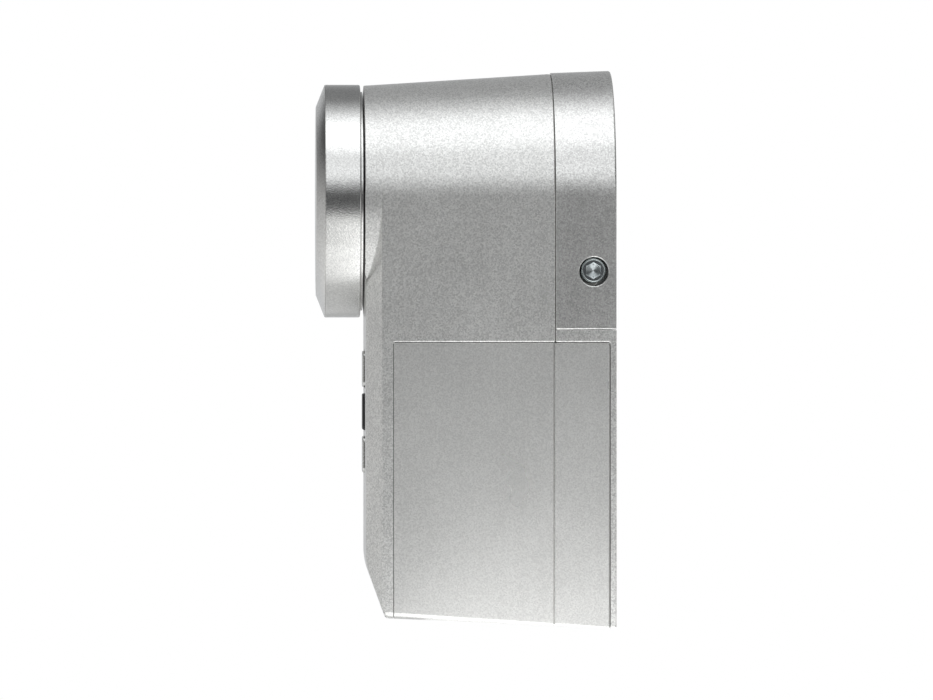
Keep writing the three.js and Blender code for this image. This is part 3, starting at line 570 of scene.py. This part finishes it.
def chamfer_wedges(inset):
    """The wedges outside the chamfers of the two upright front edges."""
    start = Vector(CHAMFER_START)
    along = Vector(CHAMFER_END) - start
    shift = Vector((-along.y, along.x)).normalized() * inset
    near = start - along + shift
    far = start + along * 3 + shift
    ahead = near.y - AHEAD
    wedge = [near, far, Vector((far.x, ahead)), Vector((near.x, ahead))]
    return [plan_prism([(side * x, y) for x, y in wedge], FAR_BELOW, 0) for side in (-1, 1)]


def slant_wedge(inset):
    """The space in front of the leaning foot of the front face."""
    front = BODY_FRONT + inset
    knee_y = SLANT_KNEE[0] + inset
    lean = (SLANT_FOOT[0] - SLANT_KNEE[0]) / (SLANT_FOOT[1] - SLANT_KNEE[1])
    foot_y = knee_y + lean * (FAR_BELOW - SLANT_KNEE[1])
    start = Vector((front, SLANT_TOP))
    bend = Vector((front, SLANT_TOP - SLANT_BEND))
    end = Vector((knee_y, SLANT_KNEE[1]))
    shares = [i / SLANT_STEPS for i in range(SLANT_STEPS + 1)]
    curve = [start * (1 - t) ** 2 + bend * 2 * t * (1 - t) + end * t ** 2 for t in shares]
    outline = [tuple(point) for point in curve] + [
        (foot_y, FAR_BELOW), (BODY_FRONT - AHEAD, FAR_BELOW), (BODY_FRONT - AHEAD, SLANT_TOP),
    ]
    return side_prism(outline, -REAR_RADIUS - BEYOND, REAR_RADIUS + BEYOND)


def housing_form(inset, rear):
    """The whole housing, shrunk by an inset, from a rear plane forwards."""
    front = NECK_FRONT + inset
    width = REAR_RADIUS + BEYOND
    form = drafted_body(inset, rear, front)
    face = block((-width, front - BEYOND, FAR_BELOW), (width, BODY_FRONT + inset, 0))
    for cutter in (*chamfer_wedges(inset), slant_wedge(inset), face):
        cut(form, cut(cutter, neck_cone(inset, NECK_CONE_REAR, front - 2 * BEYOND)))
    return form


def cover_opening():
    """The space that the cover and its clearance take out of the housing."""
    return block((COVER_LOW.x - COVER_INNER_GAP, COVER_LOW.y - COVER_GAP, FAR_BELOW),
                 (FAR_OUT, COVER_HIGH.y + COVER_GAP, COVER_HIGH.z + COVER_TOP_GAP))


def wall_slit(start, end, width, depth):
    """A straight-sided slit along the side wall, between two (y, z) points."""
    across = (Vector(end) - Vector(start)).normalized().orthogonal() * width / 2
    rings = []
    for y, z in (start, end):
        floor = radius_at(y) - depth
        outside = radius_at(y) + BEYOND
        rings.append([(x, y + side * across.x, z + side * across.y)
                      for x, side in ((floor, -1), (outside, -1), (outside, 1), (floor, 1))])
    return loft(rings)


# ---------------------------------------------------------------- housing pieces

def front_shell():
    rear = SEAM - SEAM_SLIT
    shell = cut(housing_form(0, rear), housing_form(WALL, rear + BEYOND))
    for place in HOUSING_SCREWS:
        front = UPPER_BOSS_FRONT if place.z > 0 else LOWER_BOSS_FRONT
        join(shell, rod(BOSS_RADIUS, rear - BOSS_START, front, place.x, place.z))
        cut(shell, rod(PILOT_RADIUS, rear + BEYOND, rear - PILOT_DEPTH, place.x, place.z))
    bush_rear = NECK_FRONT + BUSH_BOSS_DEPTH
    join(shell, rod(BUSH_BOSS_RADIUS, bush_rear, NECK_FRONT + WALL / 2, segments=MEDIUM))
    cut(shell, rod(BUSH_HOLE_RADIUS, bush_rear + BEYOND, NECK_FRONT - BEYOND, segments=MEDIUM))
    width, height = (side + 2 * BUTTON_HOLE_GAP for side in BUTTON_SIZE)
    for n in (1, 2, 3):
        low, high = corners(f"button_{n}")
        hole = rounded_rectangle(width, height, BUTTON_CORNER + BUTTON_HOLE_GAP, (0, (low.z + high.z) / 2))
        cut(shell, prism(hole, BODY_FRONT + WALL + BEYOND, BODY_FRONT - BEYOND))
    cut(shell, cover_opening())
    top = COVER_HIGH.z + COVER_TOP_GAP
    # Round the neck's front, above the cover, in front of it, at the foot of the lean, at the seam
    special = [
        (lambda p: p.y < NECK_FRONT + 0.2, 0.25),
        (lambda p: abs(p.z - top) < NEAR and p.x > NEAR_SIDE, BOLD_EDGE),
        (lambda p: abs(p.y - COVER_LOW.y + COVER_GAP) < NEAR and p.x > NEAR_SIDE, FINE_EDGE),
        (lambda p: p.z < FRONT_BOTTOM + 1 and p.y < SLANT_FOOT[0] + 1.5, 0.6),
        (lambda p: p.y > rear - CLOSE, 0.4),
    ]
    round_edges(shell, PLAIN_EDGE, special)
    finish_piece(shell, "front_shell_looks", "housing", SILVER_PAINT, ["front_shell"])


def cylinder_outline(offset):
    """The end of a euro-profile lock cylinder: a round head above a narrower flank."""
    radius = CYLINDER_RADIUS + offset
    half = FLANK_HALF_WIDTH + offset
    foot = CYLINDER_BOTTOM + FLANK_HALF_WIDTH
    shoulder = math.acos(half / radius) / (math.pi / 2)
    return [*arc((0, 0), radius, -shoulder, 2 + shoulder, MEDIUM), *arc((0, foot), half, 2, 4, SMALL)]


def side_block(bottom, top):
    """A block round all of the housing's rear, between two heights."""
    return block((-REACH, -REACH, bottom), (REACH, BEYOND, top))


def screw_well(place, front):
    """What a housing screw's head and shank take out of a rear piece."""
    return [rod(WELL_RADIUS, BEYOND, -WELL_DEPTH, place.x, place.z),
            rod(SHANK_RADIUS, -WELL_DEPTH + 0.2, front - BEYOND, place.x, place.z)]


def clamp_housing():
    front = SEAM + SEAM_SLIT
    form = meet(drafted_body(0, 0, front, clamp_radius_at), side_block(CLAMP_BOTTOM, REACH))
    hollow = meet(drafted_body(WALL, -CLAMP_PLATE, front - BEYOND, clamp_radius_at),
                  side_block(CLAMP_BOTTOM + WALL, REACH))
    cut(form, hollow)
    join(form, prism(cylinder_outline(SOCKET_WALL), -BEYOND, front))
    join(form, side_rod([(SCREW_BOSS_RADIUS, x) for x in SCREW_BOSS_SPAN], *SCREW_HOLE, MEDIUM))
    for place in HOUSING_SCREWS[:2]:
        join(form, rod(REAR_BOSS_RADIUS, -BEYOND, front, place.x, place.z))
        cut(form, *screw_well(place, front))
    cut(form, prism(cylinder_outline(0), BEYOND, front - BEYOND))
    cut(form, side_rod([(SCREW_HOLE_RADIUS, x) for x in SCREW_HOLE_SPAN], *SCREW_HOLE, MEDIUM))
    # Along the lower end, at the seam, round the screw's hole, at the door
    special = [
        (lambda p: p.z < CLAMP_BOTTOM + CLOSE, 0.28),
        (lambda p: p.y < front + CLOSE, CRISP_EDGE),
        (lambda p: math.dist((p.y, p.z), SCREW_HOLE) < SCREW_HOLE_RADIUS + 0.2 and p.x > NEAR_SIDE, 0.25),
        (lambda p: p.y > -CLOSE and math.hypot(p.x, p.z) > OUTSIDE, 0.5),
    ]
    round_edges(form, 0.25, special)
    finish_piece(form, "clamp_housing_looks", "housing", CAST_PAINT, ["clamp_housing"])


def rear_frame():
    front = SEAM + SEAM_SLIT
    top = CLAMP_BOTTOM - FRAME_GAP
    form = meet(drafted_body(0, 0, front), side_block(DEEP, top))
    cut(form, meet(drafted_body(WALL, -REAR_PLATE, front - BEYOND), side_block(DEEP, top - WALL)))
    cut(form, cover_opening())
    for place in HOUSING_SCREWS[2:]:
        join(form, rod(REAR_BOSS_RADIUS, -BEYOND / 2, front, place.x, place.z))
        cut(form, *screw_well(place, front))
    opening_top = COVER_HIGH.z + COVER_TOP_GAP
    # Along the upper end, above the cover, behind it, at the door
    special = [
        (lambda p: p.z > top - CLOSE, FINE_EDGE),
        (lambda p: abs(p.z - opening_top) < NEAR and p.x > NEAR_SIDE, BOLD_EDGE),
        (lambda p: abs(p.y - COVER_HIGH.y - COVER_GAP) < NEAR and p.x > NEAR_SIDE, CLEAR_EDGE),
        (lambda p: p.y > -CLOSE, 0.3),
    ]
    round_edges(form, PLAIN_EDGE, special)
    finish_piece(form, "rear_frame_looks", "housing", SILVER_PAINT, ["rear_frame"])


def battery_cover():
    skin = cut(drafted_body(0, 0, BODY_FRONT),
               drafted_body(COVER_THICKNESS, BEYOND, BODY_FRONT - BEYOND))
    meet(skin, block((COVER_LOW.x, COVER_LOW.y, FAR_BELOW), (FAR_OUT, COVER_HIGH.y, COVER_HIGH.z)))
    lip = COVER_HIGH.z - LIP_DROP
    cut(skin, wall_slit((COVER_HIGH.y + BEYOND, lip), (COVER_LOW.y - BEYOND, lip), *LIP_SLIT))
    cut(skin, wall_slit((MARK, COVER_HIGH.z + BEYOND), (MARK, MARK_END), *MARK_SLIT))
    # Along the top, in the slits, along the rear edge, along the front edge
    special = [
        (lambda p: p.z > COVER_HIGH.z - CLOSE, CRISP_EDGE),
        (lambda p: p.z > REAR_BOTTOM + 4 and COVER_LOW.y + 1 < p.y < COVER_HIGH.y - 1, TINY_EDGE),
        (lambda p: p.y > COVER_HIGH.y - CLOSE, BOLD_EDGE),
        (lambda p: p.y < COVER_LOW.y + CLOSE, FINE_EDGE),
    ]
    round_edges(skin, 0.16, special)
    finish_piece(skin, "battery_cover_looks", "cover", COVER_PAINT, ["battery_cover"])


# ---------------------------------------------------------------- knob, buttons and screw

def knob_cap():
    inner = COLLAR_RADIUS + COLLAR_GAP
    floor = KNOB_FRONT + KNOB_FACE_THICKNESS
    ring_floor = KNOB_FRONT + FACE_RING_DEPTH
    groove = KNOB_RIM_FRONT + RIM_GROOVE
    floor_radius, wall_depth = KNOB_HOLLOW
    profile = [
        (KNOB_CENTRE, floor), (floor_radius, floor), (inner, KNOB_FRONT + wall_depth),
        (inner, KNOB_REAR), (KNOB_RADIUS, KNOB_REAR), (KNOB_RADIUS, groove + RIM_GROOVE),
        (KNOB_RADIUS - 0.12, groove), (KNOB_RADIUS - 0.02, KNOB_RIM_FRONT),
        (KNOB_FACE_RADIUS, KNOB_FRONT), (FACE_RING[0], KNOB_FRONT), (FACE_RING[1], ring_floor),
        (FACE_RING[2], ring_floor), (FACE_RING[3], KNOB_FRONT), (KNOB_CENTRE, KNOB_FRONT),
    ]
    cap = turned(profile, SMOOTH)
    # In the rim's groove, round the rear
    special = [
        (lambda p: abs(p.y - groove) < CLOSE, 0.02),
        (lambda p: p.y > KNOB_REAR - NEAR and math.hypot(p.x, p.z) > KNOB_RADIUS - CLOSE, 0.35),
    ]
    round_edges(cap, CLEAR_EDGE, special)
    finish_piece(cap, "knob_cap_looks", "knob", SATIN_SILVER, ["knob_cap"])


def knob_collar():
    front = COLLAR_LOW.y
    rear = COLLAR_HIGH.y
    collar = turned([(COLLAR_BORE_RADIUS, front), (COLLAR_RADIUS, front), (COLLAR_RADIUS, rear),
                     (COLLAR_BORE_RADIUS, rear)], SMOOTH, closed=True)
    round_edges(collar, 0.15)
    finish_piece(collar, "knob_collar_looks", "knob", SATIN_SILVER, ["knob_collar"])


def push_button(number, body, material):
    low, high = corners(f"button_{number}")
    middle = (0, (low.z + high.z) / 2)
    cap = prism(rounded_rectangle(*BUTTON_SIZE, BUTTON_CORNER, middle), high.y - BUTTON_INSET, low.y)
    flange = rounded_rectangle(*FLANGE_SIZE, BUTTON_CORNER, middle)
    join(cap, prism(flange, high.y, high.y - FLANGE_THICKNESS))
    round_edges(cap, 0.1, [(lambda p: p.y < low.y + NEAR, 0.35)])
    finish_piece(cap, f"button_{number}_looks", body, material, [f"button_{number}"])


def clamp_screw():
    tip = SCREW_LOW.x
    end = SCREW_HIGH.x
    profile = [(SCREW_RADIUS - SCREW_TIP, tip), (SCREW_RADIUS, tip + SCREW_TIP),
               (SCREW_RADIUS, end - SCREW_EDGE), (SCREW_RADIUS - SCREW_EDGE, end)]
    screw = side_rod(profile, SCREW_Y, SCREW_Z, MEDIUM)
    floor = end - HEX_DEPTH
    drilled = side_rod([
        (DRILL_TIP_RADIUS, floor - DRILL_POINT), (HEX_ACROSS_FLATS / 2 - DRILL_TIP_RADIUS, floor),
        (1, floor + 0.6),
    ], SCREW_Y, SCREW_Z)
    cut(screw, side_prism(hexagon(HEX_ACROSS_FLATS, (SCREW_Y, SCREW_Z)), floor, end + BEYOND), drilled)
    round_edges(screw, CRISP_EDGE)
    finish_piece(screw, "clamp_screw_looks", "clamp_screw", SCREW_STEEL, ["clamp_screw"])


# ---------------------------------------------------------------- the pieces inside

def battery_cell(number):
    """A steel can with a button at one end, in a plain jacket rolled over both ends."""
    name = f"battery_cell_{number}"
    low, high = corners(name)
    radius = (high.x - low.x) / 2
    axis = ((low.x + high.x) / 2, (low.y + high.y) / 2)
    up = number % 2 == 1
    button = high.z if up else low.z
    flat = low.z if up else high.z
    inwards = -1 if up else 1
    shoulder = button + inwards * CELL_BUTTON_HEIGHT
    can = radius - CAN_INSET
    can_end = radius - CAN_END_INSET
    foot, neck, crown, tip = CELL_BUTTON_RADII
    steel = upright_turned([
        (can_end, flat - inwards * 0.1), (can, flat - inwards * 0.5), (can, shoulder + inwards * 0.4),
        (can_end, shoulder), (foot, shoulder), (neck, shoulder - inwards * 0.25),
        (crown, button + inwards * 0.2), (tip, button),
    ], *axis)
    round_edges(steel, FINE_EDGE)
    finish_piece(steel, f"{name}_can_looks", "housing", ZINC_STEEL, [name])
    bottom = min(flat, shoulder) + JACKET_INSET
    top = max(flat, shoulder) - JACKET_INSET
    lip = radius - JACKET_LIP
    inside = radius - JACKET_THICKNESS
    sleeve = upright_turned([
        (lip, bottom), (radius, bottom), (radius, top), (lip, top), (lip, top - JACKET_LIP_THICKNESS),
        (inside, top - JACKET_TURN), (inside, bottom + JACKET_TURN), (lip, bottom + JACKET_LIP_THICKNESS),
    ], *axis, closed=True)
    round_edges(sleeve, 0.1, [(lambda p: bottom + 0.02 < p.z < top - 0.02, 0)])
    finish_piece(sleeve, f"{name}_jacket_looks", "housing", CELL_JACKET, [])


def battery_tray():
    """The tray, with ribs that cradle the three cells."""
    low, high = corners("battery_tray")
    wall = Vector((TRAY_WALL, TRAY_WALL, TRAY_WALL))
    tray = cut(block(low, high), block(low + wall, high + Vector((TRAY_OPEN_SIDE, -TRAY_WALL, -TRAY_WALL))))
    cells = [corners(f"battery_cell_{n}") for n in (1, 2, 3)]
    middle = (cells[0][0].x + cells[0][1].x) / 2
    radius = (cells[0][1].x - cells[0][0].x) / 2 + RIB_CLEARANCE
    for height in RIB_HEIGHTS:
        rib = block((low.x + RIB_INSET, low.y + RIB_INSET, height - RIB_HALF_THICKNESS),
                    (middle + 1, high.y - RIB_INSET, height + RIB_HALF_THICKNESS))
        cradle = [(radius, height - 2 * BEYOND), (radius, height + 2 * BEYOND)]
        for start, end in cells:
            cut(rib, upright_turned(cradle, middle, (start.y + end.y) / 2))
        join(tray, rib)
    round_edges(tray, PLAIN_EDGE)
    finish_piece(tray, "battery_tray_looks", "housing", BLACK_PLASTIC, ["battery_tray"])


# The start of the nodes' names, their material and the width of their edges, in millimetres.
INNER_MATERIALS = [
    (("housing_screw", "knob_screw", "knob_spindle", "axle", "gear_post", "encoder", "radio_module",
      "motor_shaft"), DARK_STEEL, 0.12),
    (("knob_bush", "rotor_bush", "motor_pinion"), BRONZE, 0.08),
    (("gear_plate", "motor", "cell_spring", "contact"), ZINC_STEEL, 0.12),
    (("output_gear", "gear_b", "gear_a"), WHITE_NYLON, 0.05),
    (("key_rotor",), GREY_NYLON, 0.25),
    (("knob_hub", "tact_switch", "antenna", "position_sensor", "buzzer", "capacitor", "battery_tray"),
     BLACK_PLASTIC, 0.2),
    (("main_board",), BOARD_GREEN, 0.1),
    (("battery_cell",), CELL_JACKET, 0.3),
    (("cover_pad",), FOAM, 0.5),
]


WELDED = 0.004                  # the CAD's points nearer than this, in millimetres, are made one
NODE_SHARP = math.radians(38)   # and its edges that turn more than this are rounded
NODE_STEPS = 2


def dress_node(name, node):
    """Gives a CAD node that stays its material, rounded edges and smooth shading."""
    for starts, material, width in INNER_MATERIALS:
        if not name.startswith(starts):
            continue
        node.data.materials.clear()
        node.data.materials.append(material)
        node.data.polygons.foreach_set("use_smooth", [True] * len(node.data.polygons))
        weld = node.modifiers.new("weld", "WELD")
        weld.merge_threshold = WELDED * MM
        bevel = node.modifiers.new("rounding", "BEVEL")
        bevel.limit_method = "ANGLE"
        bevel.angle_limit = NODE_SHARP
        bevel.width = width * MM
        bevel.segments = NODE_STEPS
        node.modifiers.new("shading", "WEIGHTED_NORMAL")
        return


# ---------------------------------------------------------------- floor, light and camera

AIM = Vector((0, -34.05, -35.4)) * MM
CAMERA_AZIMUTH = math.radians(88.15)
CAMERA_ELEVATION = math.radians(0.4)
CAMERA_DISTANCE = 1.485         # metres
LENS = 240.7
CLIP_START = 0.01
FLOOR_DROP = 72                 # from the object's foot down to the floor
FLOOR_RADIUS = 750
GLOW_DROP = 6                   # and down to the light panels


def add_camera():
    camera = bpy.data.objects.new("camera", bpy.data.cameras.new("camera"))
    bpy.context.scene.collection.objects.link(camera)
    back = Vector((math.sin(CAMERA_AZIMUTH) * math.cos(CAMERA_ELEVATION),
                   -math.cos(CAMERA_AZIMUTH) * math.cos(CAMERA_ELEVATION),
                   math.sin(CAMERA_ELEVATION)))
    camera.location = AIM + back * CAMERA_DISTANCE
    camera.rotation_euler = back.to_track_quat("Z", "Y").to_euler()
    camera.data.lens = LENS
    camera.data.clip_start = CLIP_START
    bpy.context.scene.camera = camera


def add_glow(name, low, high, radiance):
    """Light from the white table top that the object stands on in the photograph: a level panel
    under the object, from low to high in X and Y, that only shines upwards."""
    light = bpy.data.lights.new(name, "AREA")
    light.shape = "RECTANGLE"
    light.size = (high[0] - low[0]) * MM
    light.size_y = (high[1] - low[1]) * MM
    light.energy = radiance * math.pi * light.size * light.size_y
    panel = bpy.data.objects.new(name, light)
    bpy.context.scene.collection.objects.link(panel)
    panel.location = Vector(((low[0] + high[0]) / 2, (low[1] + high[1]) / 2, REAR_BOTTOM - GLOW_DROP)) * MM
    panel.rotation_euler = (math.pi, 0, 0)
    panel.visible_camera = False


# What the world reflects, by the angle in degrees up from the side that the photograph shows, over
# the top to the far side: a dark band at eye level, a bright strip, the overhead light, a darker
# ceiling and a pale backdrop.
TENT = [
    (-180, 0.7), (-120, 0.5), (-60, 0.4), (-20, 0.34), (0, 0.07), (9, 0.09), (18, 0.9), (25, 1.38),
    (36, 1.15), (46, 1.1), (55, 1.85), (80, 1.85), (88, 1.4), (100, 0.75), (116, 0.26), (139, 0.25),
    (160, 0.35), (180, 0.7),
]
# The same for the room's two ends, by height: the sine of the elevation.
ENDS = [(-1, 0.7), (-0.13, 0.85), (0, 0.55), (0.13, 0.05), (0.4, 0.06), (0.8, 0.8), (1, 1.0)]
ENDS_SHARE = (0.2, 0.55)        # how far along Y a direction points where the ends start and take over

COOL_WHITE = (0.985, 1.0, 1.02)
PLAIN_WHITE = (1.0, 1.0, 1.0)


def add_ramp(nodes, stops, tint):
    """A colour ramp of tinted greys, after a node that brings the span of its stops to 0 to 1."""
    low = stops[0][0]
    high = stops[-1][0]
    scale = nodes.new("ShaderNodeMapRange")
    scale.inputs["From Min"].default_value = low
    scale.inputs["From Max"].default_value = high
    ramp = nodes.new("ShaderNodeValToRGB")
    elements = ramp.color_ramp.elements
    while len(elements) < len(stops):
        elements.new(0.5)
    for element, (place, grey) in zip(elements, stops):
        element.position = (place - low) / (high - low)
        element.color = (grey * tint[0], grey * tint[1], grey * tint[2], 1)
    return scale, ramp


def add_world():
    """White behind the object; what reflects is a soft light tent that runs along Y."""
    world = bpy.data.worlds.new("room")
    world.use_nodes = True
    nodes = world.node_tree.nodes
    links = world.node_tree.links
    direction = nodes.new("ShaderNodeTexCoord")
    parts = nodes.new("ShaderNodeSeparateXYZ")
    links.new(direction.outputs["Generated"], parts.inputs["Vector"])
    angle = nodes.new("ShaderNodeMath")
    angle.operation = "ARCTAN2"
    links.new(parts.outputs["Z"], angle.inputs[0])
    links.new(parts.outputs["X"], angle.inputs[1])
    tent_scale, tent = add_ramp(nodes, [(math.radians(stop), grey) for stop, grey in TENT], COOL_WHITE)
    links.new(angle.outputs["Value"], tent_scale.inputs["Value"])
    links.new(tent_scale.outputs["Result"], tent.inputs["Fac"])
    ends_scale, ends = add_ramp(nodes, ENDS, PLAIN_WHITE)
    links.new(parts.outputs["Z"], ends_scale.inputs["Value"])
    links.new(ends_scale.outputs["Result"], ends.inputs["Fac"])
    sideways = nodes.new("ShaderNodeMath")
    sideways.operation = "ABSOLUTE"
    links.new(parts.outputs["Y"], sideways.inputs[0])
    share = nodes.new("ShaderNodeMapRange")
    share.interpolation_type = "SMOOTHSTEP"
    share.inputs["From Min"].default_value, share.inputs["From Max"].default_value = ENDS_SHARE
    links.new(sideways.outputs["Value"], share.inputs["Value"])
    room = nodes.new("ShaderNodeMix")
    room.data_type = "RGBA"
    links.new(share.outputs["Result"], room.inputs[MIX_SHARE])
    links.new(tent.outputs["Color"], room.inputs[MIX_FIRST])
    links.new(ends.outputs["Color"], room.inputs[MIX_SECOND])
    background = nodes["Background"]
    links.new(room.outputs[MIX_RESULT], background.inputs["Color"])
    white = nodes.new("ShaderNodeBackground")
    white.inputs["Color"].default_value = (1, 1, 1, 1)
    path = nodes.new("ShaderNodeLightPath")
    mix = nodes.new("ShaderNodeMixShader")
    links.new(path.outputs["Is Camera Ray"], mix.inputs["Fac"])
    links.new(background.outputs["Background"], mix.inputs[1])
    links.new(white.outputs["Background"], mix.inputs[2])
    links.new(mix.outputs["Shader"], nodes["World Output"].inputs["Surface"])
    bpy.context.scene.world = world


def add_floor():
    """A plain pale floor, too far below the object to take a shadow that the photograph lacks."""
    level = REAR_BOTTOM - FLOOR_DROP
    outline = [(x * MM, y * MM, level * MM) for x, y in circle(FLOOR_RADIUS, MEDIUM)]
    mesh = bpy.data.meshes.new("floor")
    mesh.from_pydata(outline, [], [tuple(range(MEDIUM))])
    floor = bpy.data.objects.new("floor", mesh)
    bpy.context.scene.collection.objects.link(floor)
    floor.data.materials.append(new_material("floor", (0.8, 0.8, 0.795), 0.7))


def add_lights():
    """The table: bright beside the body, dimmer further out, behind, and below the knob."""
    knob_side = -59             # Y where the light below the body ends and that below the knob begins
    add_glow("glow_side", (30, knob_side), (260, 20), 1.3)
    add_glow("glow_far", (260, -75), (400, 100), 0.55)
    add_glow("glow_under", (-80, -45), (30, 200), 0.7)
    add_glow("glow_knob", (20, -300), (120, knob_side), 0.42)
    add_glow("glow_front", (-120, -300), (20, knob_side), 0.2)


# ---------------------------------------------------------------- the scene

front_shell()
clamp_housing()
rear_frame()
battery_cover()
knob_cap()
knob_collar()
push_button(1, "button_top", SATIN_SILVER)
push_button(2, "button_middle", BUTTON_BLACK)
push_button(3, "button_low", SATIN_SILVER)
clamp_screw()
for cell_number in (1, 2, 3):
    battery_cell(cell_number)
battery_tray()
for node_name, cad_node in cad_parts.items():
    dress_node(node_name, cad_node)

add_world()
add_floor()
add_lights()
add_camera()
bpy.context.scene.view_settings.view_transform = "Standard"
